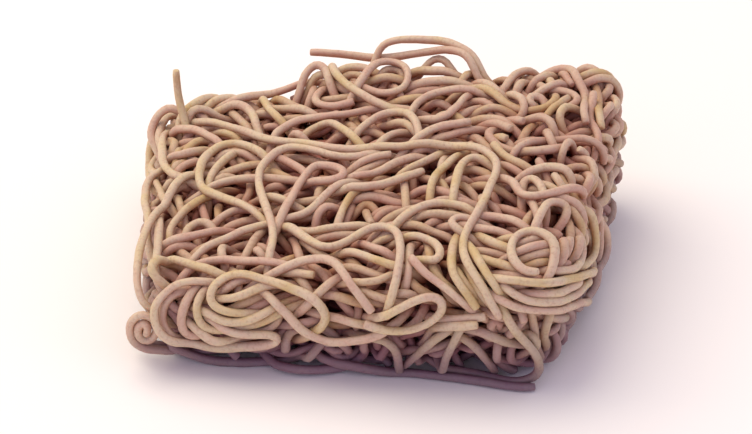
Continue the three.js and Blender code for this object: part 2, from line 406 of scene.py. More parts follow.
# %% Lay the right half of the front
FRONT_RIGHT = [
    (5, "front", "cut", (33, 25), "top", (31, -36.5), (28, -34.5), (27.5, -32.5), (28, -28),
     (31, -27), (34.5, -29), (35.5, -30.5), "right", (-35.5, 24.5)),
    (3, "top", (27, -29), (29.5, -29.5), (34, -27.5)),
    (3, "top", (28.5, -31.5), (32.5, -30.5), (34.5, -28.5)),
    (2, "top", (29, -33), (34, -31.5), (36, -30)),
    (2, "top", (30.5, -34.5), (32.5, -34), (35.5, -32.5)),
    (4, "top", (20, -21), (16.5, -20.5), (15.5, -23.5), (16.5, -25), (18, -25.5)),
    (3, "top", (19.5, -21), (21, -20.5), (25, -21.5), (29.5, -24.5)),
    (3, "top", (19, -22.5), (22.5, -24), (27, -26)),
    (3, "top", (19.5, -24.5), (22.5, -28), (26.5, -29.5)),
    (2, "top", (20.5, -28), (22.5, -29.5), (26.5, -31)),
    (3, "top", (21.5, -31), (23.5, -33), (29.5, -35.5)),
    (2, "top", (25, -36), (27.5, -36.5), "front", (32, 24)),
    (5, "top", (25.5, -37.5), "front", (29, 23.5), (34, 23.5), "right", (-34.5, 23), (-30, 21.5),
     (-24, 18.5), (-8.5, 10), "cut"),
    (3, "front", (30, 22), "right", (-36, 21), (-24.5, 16.5), (-16, 12.5)),
    (4, "front", (25.5, 23.5), (29, 21), (34, 20.5), "right", (-35, 20), (-29, 17), (-21, 14),
     (-15.5, 12)),
    (4, "front", (25, 21.5), (29, 19.5), (34.5, 18.5), "right", (-32.5, 16.5), (-22, 11),
     (-8, 3.5), (-6.5, 5), (-4.5, 6.5), (3.5, 4), (5.5, 6), (7, 8), (5.5, 11.5)),
    (3, "right", (-12.5, 24.5), (-12, 16.5), (-14.5, 16), (-21, 18)),
    (3, "right", (0, 17), (4.5, 12), (3, 6.5), (3, 3)),
    (3, "top", (40, -18), "right", (-19.5, 24.5), (-19.5, 22), (-21.5, 20.5), (-31, 22.5),
     (-34, 24)),
    (2, "top", (39, -17), "right", (-21, 24.5), (-23, 23)),
    (2, "top", (32, -25), (34, -17), (38, -15), (39, -16.5), (39, -19)),
    (2, "top", (28.5, -24.5), (29.5, -21), (30.5, -18)),
    (2, "top", (30.5, -15.5), (31.5, -19), (33, -22.5)),
    (2, "top", (23.5, -14.5), (25.5, -17), (28, -18)),
    (2, "top", (22.5, -16.5), (24.5, -19), (27, -19.5)),
]
print(len(FRONT_RIGHT), "strands")

# %% [markdown]
# ## The right half of the top
# This is the quietest part: short strands that cross at all angles. They could be left to chance,
# but the eye reads them together with the long wave, so they are laid as well.

# %% Lay the right half of the top
TOP_RIGHT = [
    (5, "top", (23.5, -6.5), (25.5, -7.5), (27, -10), (29, -16), (32.5, -17), (36.5, -12.5),
     (40.5, -10.5)),
    (3, "top", (29.5, -15.5), (29, -8.5), (29.5, -6.5), (31, -7), (33, -13)),
    (3, "top", (26.5, -6.5), (30, -4.5), (34.5, -4), (37, -5.5)),
    (2, "top", (23.5, 0), (25.5, -2), (29.5, -5)),
    (3, "top", "cut", (22.5, 5), (25.5, 0), (30, -3.5)),
    (2, "top", "cut", (31.5, 0), (32.5, -3), (33.5, -4.5)),
    (2, "top", (18, 12), (20.5, 8), (22.5, 4.5)),
    (2, "top", (17.5, 15), (20, 15.5), (22.5, 14.5), (25, 12)),
    (2, "top", (18.5, 19), (20.5, 20), (23, 19.5)),
    (4, "top", (11, -10.5), (12.5, -4.5), (16, 3.5)),
    (4, "top", (16, -14.5), (16.5, -3), (18.5, 1), (22, -1)),
    (2, "top", (16.5, -2), (20.5, -2.5), (22.5, -5)),
    (2, "top", (17, -6.5), (18.5, -8), (20, -11)),
    (2, "top", (19, -6.5), (21, -6.5), (22.5, -7.5)),
    (4, "top", (-4, 0), (-2, 1.5), (2.5, 2.5), "cut"),
    (3, "top", (-4.5, -5), (-2.5, -5), (2, -3), (4.5, 1), (9, 3)),
    (3, "top", (3.5, -4), (11.5, 2), (12.5, 4)),
    (4, "top", (-4.5, -7.5), (0.5, -8), (7.5, -5), (9.5, -3), "cut"),
    (2, "top", (-2, -0.5), (-0.5, 0), (2, 2)),
    (3, "top", (6, -4.5), (6, -7.5), (6.5, -13.5)),
    (3, "top", (7, -8.5), (9.5, -7.5), (11.5, -8.5), (16, -13), (18.5, -14)),
    (3, "top", (11.5, -15.5), (13, -14), (15.5, -14), (20, -15)),
    (4, "top", (6.5, -21), (8, -20), (11.5, -17.5), (16, -17), (20, -20)),
    (2, "top", (8.5, -18.5), (11.5, -18.5), (16, -18.5)),
    (3, "top", (-2, -10.5), (2.5, -10), (5.5, -12), (8, -10.5)),
    (3, "top", (-1, -12.5), (-0.5, -15.5), (1, -19), "cut"),
    (2, "top", (-3, -10.5), (-3, -13), (-3.5, -16)),
    (2, "top", (0.5, -16), (4.5, -12), (6.5, -12)),
    (2, "top", (2.5, -18.5), (6.5, -15), (8, -14.5)),
    (2, "top", (2, -7), (3.5, -8.5), (5, -8.5)),
    (2, "top", (10, -2.5), (12, -5), (13.5, -8.5)),
]
print(len(TOP_RIGHT), "strands")

# %% [markdown]
# ## The base
# The foot of the front is ragged. Some strands lie flat on the tray, some hang down to it in
# slack bends, and gaps between them let the light through. Most of them touch no face of the
# block, so their places are free in the air.

# %% Lay the base
BASE = [
    (2, "front", (-11.5, 13), (-9.5, 14), (-7.5, 13.5)),
    (2, "front", (18.5, 17), (20, 16.5), (21.5, 16.5)),
    (2, "top", (27.5, -37.5), "front", (29.5, 23.5)),
    (1, "front", (24.5, 18), (27, 17.5), (29, 16.5)),
    (1, "front", (31, 16), (34, 15), "right", (-30, 12), (-23, 8.5)),
    (1, "right", (-28, 12.5), (-22.5, 7), (-23, 4)),
    (2, "right", (-34, 21), (-28.5, 17.5), (-18, 10)),
    (4, "free", (-34.5, -33.5, 4), (-29.5, -33, 0.9), (-22, -33.5, 0.9), (-15.5, -32, 1.5),
     (-11.5, -32, 4), (-9.5, -33, 6)),
    (4, "free", (-18, -32.5, 0.9), (-15.5, -34.5, 0.9), (-11, -35, 0.9), (-6.5, -34, 0.9),
     (-2.5, -32, 0.9), (0.5, -31.5, 3), (1, -31.5, 4.5), (1, -33, 7)),
    (4, "free", (-6, -35, 2.6), (-0.5, -34.5, 2.3), (4.5, -33.5, 0.9), (10, -33, 0.9),
     (12, -33.5, 0.9), (20.5, -34.5, 0.9), (30.5, -36.5, 0.9), (33, -36, 0.9), "cut"),
    (4, "free", (25.5, -36.5, 20), (27, -38, 18.1), (28, -37.5, 15.8), (32.5, -36.5, 10.5),
     (33.5, -33.5, 4), (32.5, -33, 2), (28.5, -34, 1.4), (23, -32.5, 1.5), (20.5, -33, 2),
     (14.5, -33.5, 2.5), (11.5, -33, 4.5), (11, -32.5, 6)),
    (3, "free", "cut", (8, -32.5, 2.5), (9.5, -35.5, 5.9), (11, -36, 7.7), (12.5, -37, 10.4),
     (16.5, -38, 14.6), (18.5, -37, 15.2)),
    (3, "free", (1, -37, 10.9), (2.5, -37.5, 11.5), (5, -37.5, 11.1), (6.5, -37, 9.9),
     (7.5, -37, 8.3), (8, -33.5, 1.4), "cut"),
    (4, "free", (20.5, -37, 16.1), (19, -37.5, 13.2), (17, -36.5, 8.5), (16, -35, 5.8)),
    (3, "free", (16.5, -33, 8.4), (18.5, -33, 4.1), (19.5, -32.5, 1.4), "cut"),
    (4, "free", (17.5, -37, 13.1), (21, -37.5, 11.2), (23.5, -36.5, 7), (25, -32.5, 1.5), "cut"),
    (3, "free", (24.5, -34, 7), (28.5, -34, 2.8), (29.5, -32, 1.4), "cut"),
    (3, "free", (31.5, -35, 18.9), (32, -35, 11.6), (32, -33, 7.8)),
    (3, "free", (35, -33, 17.8), (33.5, -35, 12.7), (33, -33, 9)),
    (3, "free", (31.5, -34, 10.6), (32.5, -36, 13), (34, -37, 13.7), (35, -37, 12.3),
     (34, -36, 10.2), (32.5, -35, 9.7)),
    (3, "free", (18, -36, 13.4), (20, -37.5, 14.3), (22, -38, 14.2), (29, -37, 10.8),
     (31, -35, 9.8)),
    (4, "free", (12.5, -35, 11.5), (14, -37, 14.1), (16.5, -38.5, 15.8), (22, -39, 17.1), "cut"),
    (3, "free", (15, -37, 17.2), (16.5, -38.5, 17.3), (24, -39, 18.8), "cut"),
    (3, "free", (29, -36, 20.4), (29.5, -37.5, 19.7), (30, -38.5, 18.1), "cut"),
    (3, "free", (-36, -31, 3.1), (-33.5, -32, 2.9), (-28, -32, 3.3), (-25.5, -31, 2.9)),
    (2, "free", (-26.5, -32, 4.9), (-26, -33, 3.8), (-25.5, -33, 2.1), (-24, -33.5, 1.2), "cut"),
    (3, "free", (-24, -31, 3.7), (-20.5, -33, 2.7), (-15.5, -33.5, 1.9)),
    (3, "free", (-17.5, -32, 3), (-15, -33, 2.8), (-12.5, -33.5, 3.9), (-7.5, -33, 6.3),
     (-4.5, -32, 6)),
    (2, "free", "cut", (-11, -33, 1.8), (-7.5, -33.5, 5.4), (-6, -33, 6.9)),
    (2, "free", (0.5, -30, 4.5), (4, -32, 2.8), (5, -33, 1.3), "cut"),
    (2, "free", (-7, -31, 2.9), (2.5, -31, 2.7), (5, -31, 1.4)),
    (3, "free", (4.5, -33, 6.6), (7, -35, 9.3), (9.5, -35, 9.6), (11.5, -35, 10.8)),
    (3, "free", "cut", (-42.5, -31, 3.4), (-39.5, -33, 4.1), (-36.5, -33.5, 3.2),
     (-35.5, -32, 3)),
]
print(len(BASE), "strands")
ROUTES = (LONG + LEFT + LEFT_MIDDLE + BACK + BETWEEN + FRONT_EDGE + FRONT_LEFT + FORK
          + FRONT_RIGHT + TOP_RIGHT + BASE)
print(len(ROUTES), "strands laid by hand")

# %% [markdown]
# ## From places to points
# A place on a face is found by looking straight at that face: a point starts far outside and
# moves in. The field says how far it can go without passing the outline, so it goes just that far
# each time, and it stops on the outline.

# %% Find the place on a face
FAR = 80.0  # mm, well outside the block
APPROACHES = 60  # moves, more than enough to arrive
LEAST_MOVE = 0.02  # mm
LOOKS = {  # where a look at a face starts, and its direction
    "top": lambda x, y: ((x, y, FAR), (0, 0, -1)),
    "front": lambda x, z: ((x, -FAR, z), (0, 1, 0)),
    "right": lambda y, z: ((FAR, y, z), (-1, 0, 0)),
    "left": lambda y, z: ((-FAR, y, z), (1, 0, 0)),
}


def place_on(face, place):
    """The point in space for one place of a route."""
    if face == "free":
        return np.array(place, float)
    start, direction = LOOKS[face](*place)
    start = np.array(start, float)
    direction = np.array(direction, float)
    for _ in range(APPROACHES):
        start = start + direction * max(read_grid(field, start[None])[0], LEAST_MOVE)
    return start


def points_of(route):
    """The points that a route goes through, and which of them are free in the air."""
    places, in_air = [], []
    for item in route[1:]:
        if item in LOOKS or item == "free":
            face = item
        elif item != "cut":
            places.append(place_on(face, item))
            in_air.append(face == "free")
    return np.array(places), np.array(in_air)


print("the middle of the top is at", place_on("top", (0, 0)).round(1), "mm")

# %% [markdown]
# ## From points to smooth lines
# The line through the points is a Catmull-Rom curve, which passes through every one of them. A
# Blender curve would do the same, but the solver below needs plain points at even steps, so the
# line is worked out here. A noodle has no corners, so it is then smoothed a little.

# %% Draw a smooth line through points
STEP = 1.1  # mm between the points of a strand
SPAN_POINTS = 12  # points of the curve from one place to the next


def through(places):
    """A smooth line through the places."""
    padded = np.vstack([2 * places[0] - places[1], places, 2 * places[-1] - places[-2]])
    t = np.linspace(0, 1, SPAN_POINTS, endpoint=False)[:, None]
    spans = []
    for a, b, c, d in zip(padded, padded[1:], padded[2:], padded[3:]):
        bend = (2 * b + (c - a) * t + (2 * a - 5 * b + 4 * c - d) * t**2
                + (3 * b - a - 3 * c + d) * t**3)
        spans.append(bend / 2)
    return np.vstack(spans + [places[-1:]])


def even_steps(points, step):
    """The same line, cut into steps of one length."""
    lengths = np.linalg.norm(np.diff(points, axis=0), axis=1)
    along = np.concatenate([[0], np.cumsum(lengths)])
    wanted = np.linspace(0, along[-1], max(3, round(along[-1] / step) + 1))
    return np.stack([np.interp(wanted, along, points[:, axis]) for axis in range(3)], axis=1)


def smooth_line(line, rounds):
    """Rounds off corners and keeps the two ends."""
    for _ in range(rounds):
        line[1:-1] = 0.25 * line[:-2] + 0.5 * line[1:-1] + 0.25 * line[2:]
    return line


wave = even_steps(through(points_of(LONG[0])[0]), STEP)
print("the wave is", round(STEP * (len(wave) - 1)), "mm long")

# %% [markdown]
# ## Ends that go under
# On a block hardly any end shows: strands come up from below and go down again. So an end that
# isn't cut runs on for 8 mm, and its last centimetre goes down 4.5 mm, faster and faster.

# %% Lay the strands and tuck their ends under
TUCK_STEPS = 7  # steps that an end runs on under its neighbours
DIP_STEPS = TUCK_STEPS + 3  # steps over which it goes down
TUCK_DEPTH = 4.5  # mm that it goes down over that length
DIP_CURVE = 1.5  # power: the higher, the later it goes down


def tuck_under(line, free, dips):
    """Carries the last end of a line on, and notes how far each point of it dips."""
    reach = STEP * np.arange(1, TUCK_STEPS + 1)[:, None]
    line = np.vstack([line, line[-1] + unit(line[-1] - line[-3]) * reach])
    free = np.append(free, [False] * TUCK_STEPS)
    dips = np.append(dips, np.zeros(TUCK_STEPS))
    tail = min(DIP_STEPS, len(dips))
    dips[-tail:] += TUCK_DEPTH * np.linspace(0, 1, DIP_STEPS)[-tail:] ** DIP_CURVE
    return line, free, dips


def lay(route):
    """One route as a line, its level, what is free in the air and how far each point dips."""
    places, in_air = points_of(route)
    line = smooth_line(even_steps(through(places), STEP), rounds=2)
    nearest_place = np.linalg.norm(line[:, None] - places, axis=2).argmin(axis=1)
    strand = line, in_air[nearest_place], np.zeros(len(line))
    if "cut" not in route[1:3]:
        strand = [part[::-1] for part in tuck_under(*[part[::-1] for part in strand])]
    if route[-1] != "cut":
        strand = tuck_under(*strand)
    line, free, dips = strand
    return line, route[0], free, dips


laid = [lay(route) for route in ROUTES]
laid_length = STEP * sum(len(line) - 1 for line, *_ in laid)
print("laid by hand:", len(laid), "strands,", round(laid_length / 1000, 2), "m")

# %% [markdown]
# ## Levels
# So far every line lies on the outline itself, and lines that cross run into each other. The
# level of a strand sets how deep it sinks: half a millimetre for each level, which is a third of
# its thickness. That is enough to say who lies on top, and the solver does the rest.

# %% Set each laid strand at its own depth under the outline
STRAND = 1.65  # mm, thickness of a strand
R = STRAND / 2
TOP_LEVEL = 5
LEVEL_STEP = 0.55  # mm deeper for each level down
LOWEST_LEVEL = 0.1  # the level of an end that has gone under: above nought, as all that is laid
PROUD = 0.3  # mm that the highest strands stand out past the outline
SINK_ROUNDS = 6


def sink(line, depth, free):
    """Moves the part of a line that lies on the block to that depth under the outline."""
    for _ in range(SINK_ROUNDS):
        gap = np.where(free, 0, read_grid(field, line) + depth)
        line = smooth_line(line - outward(line) * gap[:, None], rounds=1)
    return line


strands = []  # each one: points in mm, the level of each point, and which are free in the air
for line, level, free, dips in laid:
    depth = R - PROUD + LEVEL_STEP * (TOP_LEVEL - level) + dips
    levels = np.maximum(level - dips / LEVEL_STEP, LOWEST_LEVEL)
    strands.append((sink(line, depth, free), levels, free))
print("free in the air:", sum(free.sum() for _, _, free in strands), "points")

# %% [markdown]
# ## The open foot
# A real block curls up off the tray at its lower edges, so light gets in under it. A slanting
# plane along each lower edge cuts that room out of a copy of the field. The strands that fill the
# block keep to the copy, and those laid one by one keep to the field itself.

# %% Keep the lower edges open
OPEN_EDGES = [  # axis, side, how far in it starts at the base in mm, how high it ends
    (1, -1, 12.0, 9.0),
    (1, 1, 7.0, 6.0),
    (0, -1, 8.0, 7.0),
    (0, 1, 8.0, 7.0),
]
grid_points = np.stack(np.meshgrid(*[GRID_START[axis] + CELL * np.arange(GRID_SHAPE[axis])
                                     for axis in range(3)], indexing="ij"), axis=-1)
crowd_field = field.copy()
for axis, side, run, rise in OPEN_EDGES:
    edge = BLOCK_HIGH[axis] if side > 0 else BLOCK_LOW[axis]
    inward = side * (grid_points[..., axis] - (edge - side * run))
    cut = (inward * rise - grid_points[..., 2] * run) / math.hypot(run, rise)
    crowd_field = np.maximum(crowd_field, cut)
crowd_field = soften(crowd_field, rounds=1)
crowd_slope = np.stack(np.gradient(crowd_field, CELL), axis=-1)


def crowd_outward(points):
    """The direction straight out of the room that the crowd has."""
    return unit(read_grid(crowd_slope, points))


foot = np.array([[0.0, BLOCK_LOW[1], 4.0]])
print("at the foot of the front, out is", crowd_outward(foot)[0].round(2))

# %% [markdown]
# ## The strands underneath
# The rest of the block is a crowd of the same strands. They are made by walkers: each one starts
# somewhere at its own depth, keeps that depth by steering on the field, bends to and fro as a
# noodle does, turns sharply back now and then, and steers away from places that are already
# crowded. The drape of real noodles could be simulated strand by strand, but that takes hours,
# and a walk that knows the crowd gives the same look in seconds. To know it, the walkers count
# the strand around each grid point, and what is laid one by one is counted first.

# %% Count the strands around each grid point
crowd = np.zeros(GRID_SHAPE)  # mm of strand already around each grid point
UNDER = 1.4  # mm deeper that a strand goes where the surface is already laid by hand
FULL = 1.2  # mm of strand around a grid point from which it counts as laid


def add_to_crowd(points):
    """Counts one step of strand at each point."""
    cells = np.rint((points - GRID_START) / CELL).astype(int)
    cells = np.clip(cells, 0, np.array(GRID_SHAPE) - 1)
    np.add.at(crowd, tuple(cells.T), STEP)


for line, _, free in strands:
    add_to_crowd(line[~free])
covered = UNDER * np.clip(soften(crowd, rounds=2) / FULL, 0, 1)
crowd = crowd * 2  # what is laid by hand weighs double, so the walkers keep clear of it
print("grid points next to a laid strand:", (covered > UNDER / 2).sum())

# %% [markdown]
# ## How a walker bends
# What a walker does at each step is a sum of small habits, and each habit is a short function.
# Two of them are left to chance: a slow bend to and fro, and now and then a sharp turn, as where
# real noodles are folded. Plain random bends would make a strand tremble, so a bend is kept for
# a while and forgotten slowly.

# %% Bend at random, and turn back now and then
BEND = 0.075  # typical bend, one over its radius in mm
BEND_MEMORY = 9.0  # mm that a bend lasts
ROAM_MEMORY = 18.0  # mm that a rise or a dip lasts
TURN_EVERY = 80.0  # mm between sharp turns
TURN_RADIUS = (3.2, 6.5)  # mm
TURN_ANGLE = (1.4, 3.6)  # radians
rng = np.random.default_rng(20)


def drifting(value, memory, spread, noise):
    """One step of a value that wanders around nought and forgets where it was."""
    return value * (1 - STEP / memory) + spread * math.sqrt(2 * STEP / memory) * noise


def sharp_turns(turn, turn_left, chief):
    """Starts a sharp turn here and there. Gives the bends, and the mm that are left of each."""
    count = len(turn)
    start = ((turn_left <= 0) & (rng.random(count) < STEP / TURN_EVERY))[chief]
    radius = rng.uniform(*TURN_RADIUS, count)[chief]
    hand = np.where(rng.random(count) < 0.5, 1, -1)[chief]
    arc = radius * rng.uniform(*TURN_ANGLE, count)[chief]
    return np.where(start, hand / radius, turn), np.where(start, arc, turn_left - STEP)


print("a sharp turn takes", round(np.mean(TURN_RADIUS) * np.mean(TURN_ANGLE)), "mm of noodle")

# %% [markdown]
# ## How a walker steers
# Noodles leave the die side by side, so walkers start in families of three, which keep beside
# their leader for about half of their way. Three more habits see to that and to an even block: a
# bend away from the crowd, a pull towards the walker's own post beside the leader, and a pull
# back to its own depth. The first and the last have a limit, because a strong pull gives a kink.

# %% Steer by the crowd, by the leader and by the depth
LOOK_AHEAD = 4  # mm
LOOK_ASIDE = 3  # mm
SHY = 0.05  # bend for each mm of strand that one side has more than the other
MOST_SHY = 0.14
CLOSE_UP = 0.1  # bend for each mm away from the place beside the leader
FALL_IN = 0.35  # bend for each radian away from the leader's heading
UNDER_HAND = 5  # mm: strands that lie less deep keep under what is laid by hand
DIVE = 0.16  # change of heading for each mm away from the right depth
MOST_DIVE = 0.5


def avoid_crowd(place, heading, aside):
    """A bend away from the side that is fuller ahead."""
    ahead = place + heading * LOOK_AHEAD
    left, right = ahead - aside * LOOK_ASIDE, ahead + aside * LOOK_ASIDE
    return np.clip((read_grid(crowd, left) - read_grid(crowd, right)) * SHY, -MOST_SHY, MOST_SHY)


def keep_beside(place, heading, aside, out, post, chief):
    """A bend towards the walker's own post beside its leader. A leader has none."""
    beside = np.sum((place - place[chief]) * aside[chief], axis=1)
    askew = np.sum(np.cross(heading[chief], heading) * out, axis=1)
    leads = chief == np.arange(len(chief))
    return np.where(leads, 0, -CLOSE_UP * (beside - post) - FALL_IN * askew)


def keep_depth(place, heading, out, depth, wander):
    """The heading, turned towards the depth at which the walker belongs."""
    under = read_grid(covered, place) if depth < UNDER_HAND else 0
    gap = read_grid(crowd_field, place) + depth + under + wander
    return unit(heading - out * np.clip(gap * DIVE, -MOST_DIVE, MOST_DIVE)[:, None])


print("one mm too high turns a walker down by", round(math.degrees(DIVE)), "degrees a step")

# %% [markdown]
# ## Where the walkers start
# Many places are drawn at random, those at about the right depth are kept, and families start
# where the least strand is around them. An even pattern of starts would be simpler, but the eye
# finds a pattern at once.

# %% Line the walkers up
FAMILY = 3  # strands that start side by side
TRIES = 400  # places tried for each family
NEAR_DEPTH = 1.0  # mm that a start may be above or below its depth


def find_starts(families, depth):
    """A place for each family, at about that depth and where there is little so far."""
    tries = GRID_START + rng.random((TRIES * families, 3)) * CELL * (np.array(GRID_SHAPE) - 1)
    starts = tries[np.abs(read_grid(crowd_field, tries) + depth) < NEAR_DEPTH]
    emptiest = starts[np.argsort(read_grid(crowd, starts))]
    return emptiest[:2 * families:2]


def line_up(families, depth, leader, post):
    """Where walkers start, each at its post beside its leader, and which way they head."""
    place = np.repeat(find_starts(families, depth), FAMILY, axis=0)
    out = crowd_outward(place)
    heading = unit(np.cross(out, rng.normal(size=(len(leader), 3))[leader]))
    return place + np.cross(out, heading) * post[:, None], heading


print(TRIES, "places are tried for each family of", FAMILY)

# %% [markdown]
# ## The walk
# The block is filled shell by shell from the outside in, because what lies near the outline shows
# most. The last two rounds are shorter strands, for the places that are still empty. All walkers
# of a shell take each step together, which is quick, and lets them keep clear of each other.

# %% Walk the strands through the block
TOGETHER = 0.55  # share of their length that a family stays together
SPACING = 1.12  # strands from one to the next beside it
LEVEL_OUT = 0.06  # how strongly a strand on a side of the block turns level
SHELLS = [  # depth in mm, families, steps of each, how far it roams up and down in mm
    (1.3, 12, 150, 0.6),
    (3.0, 14, 150, 0.8),
    (4.8, 12, 140, 1.0),
    (6.8, 10, 120, 1.2),
    (1.6, 8, 80, 0.6),  # and some shorter ones for the places that are still empty
    (3.2, 8, 80, 0.8),
]


def walk(families, steps, depth, roam):
    """Families of walkers, side by side. Gives one row of points for each walker."""
    count = families * FAMILY
    walker = np.arange(count)
    leader = walker // FAMILY * FAMILY
    post = (walker % FAMILY) * STRAND * SPACING  # mm to the side of the leader
    place, heading = line_up(families, depth, leader, post)
    bend = rng.normal(0, BEND, count)[leader]
    wander = rng.normal(0, roam, count)
    turn, turn_left = np.zeros(count), np.zeros(count)
    path = [place]
    for number in range(steps):
        chief = leader if number < TOGETHER * steps else walker
        out = crowd_outward(place)
        aside = np.cross(out, heading)
        bend = drifting(bend, BEND_MEMORY, BEND, rng.normal(size=count)[chief])
        wander = drifting(wander, ROAM_MEMORY, roam, rng.normal(size=count))
        turn, turn_left = sharp_turns(turn, turn_left, chief)
        steer = avoid_crowd(place, heading, aside)[chief]
        keep_up = keep_beside(place, heading, aside, out, post, chief)
        level_out = -LEVEL_OUT * heading[:, 2] * aside[:, 2]
        angle = STEP * (np.where(turn_left > 0, turn, bend + steer) + level_out + keep_up)
        heading = heading * np.cos(angle)[:, None] + aside * np.sin(angle)[:, None]
        heading = keep_depth(place, heading, out, depth, wander)
        place = place + heading * STEP
        add_to_crowd(place)
        path.append(place)
    return np.stack(path, axis=1)


for depth, families, steps, roam in SHELLS:
    for path in walk(families, steps, depth, roam):
        no_level = np.zeros(len(path))
        strands.append((smooth_line(path.copy(), rounds=2), no_level, no_level > 0))
total = STEP * sum(len(line) - 1 for line, _, _ in strands)
print(len(strands), "strands,", round(total / 1000, 1), "m in all")

# %% [markdown]
# ## Push the strands apart
# The walkers ignore thickness, so at this point strands cut through each other. A small solver
# settles them. Every point of a strand is a ball as thick as the strand; two balls that overlap
# are pushed apart, a ball that leaves the block is pushed back in, and after each round the
# shifts are smoothed along every strand, which makes it behave like a springy rod and not like a
# string of beads. Blender's own physics has no rods that touch, so it is written out here.

# %% Put all the points in one list
HAND_EASE = 0.15  # how easily a point gives way: the crowd gives way to what is laid by hand
FREE_EASE = 0.05  # and what is free in the air hardly moves at all

points = np.vstack([line for line, _, _ in strands])
counts = np.array([len(line) for line, _, _ in strands])
strand_of = np.repeat(np.arange(len(strands)), counts)
first = np.cumsum(counts) - counts
last = first + counts - 1
level_of = np.concatenate([levels for _, levels, _ in strands])
free_of = np.concatenate([free for _, _, free in strands])
by_hand = level_of > 0
ease = np.where(by_hand, HAND_EASE, 1.0)
ease[free_of] = FREE_EASE
rest = points.copy()
print(len(points), "points,", by_hand.sum(), "of them laid by hand")

# %% [markdown]
# ## Who is close to whom
# To compare each of some 30,000 points with each other one would take far too long. So space is
# cut into cells as wide as the reach, and a point is compared only with those in its own cell and
# in the cells around it. Half of the 27 shifts between cells are enough, because each pair is then
# met once.

# %% Find the points that come close
NEAR_ON_STRAND = 4  # points of one strand that are this near each other don't count as a pair


def sort_into_cells(points, reach):
    """Each point's cell as one number, and the steps in it from a cell to the next along x and y."""
    cell = np.floor((points - points.min(0)) / reach).astype(np.int64) + 1
    size = cell.max(0) + 2
    return (cell[:, 0] * size[1] + cell[:, 1]) * size[2] + cell[:, 2], (size[1] * size[2], size[2])


def close_pairs(points, reach):
    """Pairs of points closer than reach, apart from near neighbours on one strand."""
    key, (step_x, step_y) = sort_into_cells(points, reach)
    order = np.argsort(key, kind="stable")
    cells, begin, fill = np.unique(key[order], return_index=True, return_counts=True)
    found = []
    for x, y, z in np.ndindex(3, 3, 3):
        shift = (x - 1) * step_x + (y - 1) * step_y + z - 1
        if shift < 0:
            continue
        slot = np.minimum(np.searchsorted(cells, key + shift), len(cells) - 1)
        many = np.where(cells[slot] == key + shift, fill[slot], 0)
        a = np.repeat(np.arange(len(points)), many)
        offset = np.arange(many.sum()) - np.repeat(np.cumsum(many) - many, many)
        b = order[np.repeat(begin[slot], many) + offset]
        keep = (a < b) if shift == 0 else np.ones(len(a), bool)
        found.append(np.stack([a[keep], b[keep]], axis=1))
    pairs = np.vstack(found)
    a, b = pairs.T
    apart = np.linalg.norm(points[a] - points[b], axis=1) < reach
    same = (strand_of[a] == strand_of[b]) & (np.abs(a - b) <= NEAR_ON_STRAND)
    return pairs[apart & ~same]


print(len(close_pairs(points, STRAND)), "pairs of points overlap before they settle")

# %% [markdown]
# ## One round of the solver
# A round is four small moves: push pairs apart, push strays back inside, smooth the shifts along
# each strand, and lift what has sunk into the tray. Where a strand of a higher level meets a lower
# one, the push is turned outwards, so that the higher one ends up on top and not beside it.

# %% Push the pairs apart
REACH = STRAND + 0.7  # mm within which points are watched as pairs
GIVE = 0.45  # share of an overlap that one round takes away
LIFT = 0.7  # how much of the push between two levels goes outwards
MOST_MOVE = 0.5  # mm in one round


def find_contacts(points):
    """The pairs that come close, which way each is lifted, and the first one's share of a push."""
    a, b = close_pairs(points, REACH).T
    rank = np.clip(level_of[a] - level_of[b], -1, 1)
    lift = LIFT * rank[:, None] * outward(points[a])
    share_a = ease[a] / (ease[a] + ease[b])
    return a, b, lift, share_a[:, None]


def push_apart(points, contacts):
    """Moves the two points of each pair apart. Gives the points, and how far the pairs overlap."""
    a, b, lift, share_a = contacts
    between = points[a] - points[b]
    overlap = np.maximum(STRAND - np.linalg.norm(between, axis=1), 0)
    push = unit(unit(between) + lift) * overlap[:, None] * GIVE
    push_a = push * share_a
    push_b = -push * (1 - share_a)
    move = np.stack([np.bincount(a, push_a[:, axis], len(points))
                     + np.bincount(b, push_b[:, axis], len(points)) for axis in range(3)], axis=1)
    return points + np.clip(move, -MOST_MOVE, MOST_MOVE), overlap


_, overlap = push_apart(points, find_contacts(points))
print("the worst pair overlaps by", round(overlap.max(), 2), "mm before they settle")

# %% [markdown]
# ## Strays
# Pushes also drive points out of the block. The crowd has to stay in its room, but what is laid one
# by one may stand out by a millimetre, as proud strands do on a real block, and what is free in the
# air isn't held at all. Each round makes good only a share of the way back, because a hard stop
# would undo the pushes.

# %% Push the strays back inside
OVERHANG = 1.0  # mm that a strand laid by hand may stand out past the outline
PUSH_BACK = 0.6  # share of a stray that one round takes away


def push_inside(points, out):
    """Moves a point that has left the block back towards it."""
    stands_out = read_grid(field, points) + R - OVERHANG
    strays = read_grid(crowd_field, points) + R
    too_far = np.maximum(np.where(by_hand, stands_out, strays), 0) * ~free_of
    return points - out * (PUSH_BACK * too_far)[:, None]


inside = push_inside(points, outward(points))
print((inside != points).any(axis=1).sum(), "points are outside before they settle")

# %% [markdown]
# ## Springy strands
# A string of balls would kink wherever one of them is pushed. A dry noodle shares a push with its
# neighbours, so each shift is blended with the four around it on the same strand. What is blended
# is the shift and not the place, so the bends that the strand was laid with stay as they were.

# %% Stay springy
def neighbours(stride):
    """For each point, the points one and two strides before and after it on its own strand."""
    index = np.arange(len(points))
    return [np.clip(index + offset * stride, first[strand_of], last[strand_of])
            for offset in (-2, -1, 1, 2)]


def stay_springy(points, around):
    """Smooths the shifts along every strand, and leaves the bends that it had at rest."""
    shift = points - rest
    before_2, before_1, after_1, after_2 = around
    shift += (-shift[before_2] + 4 * shift[before_1] - 6 * shift
              + 4 * shift[after_1] - shift[after_2]) / 16
    return rest + shift


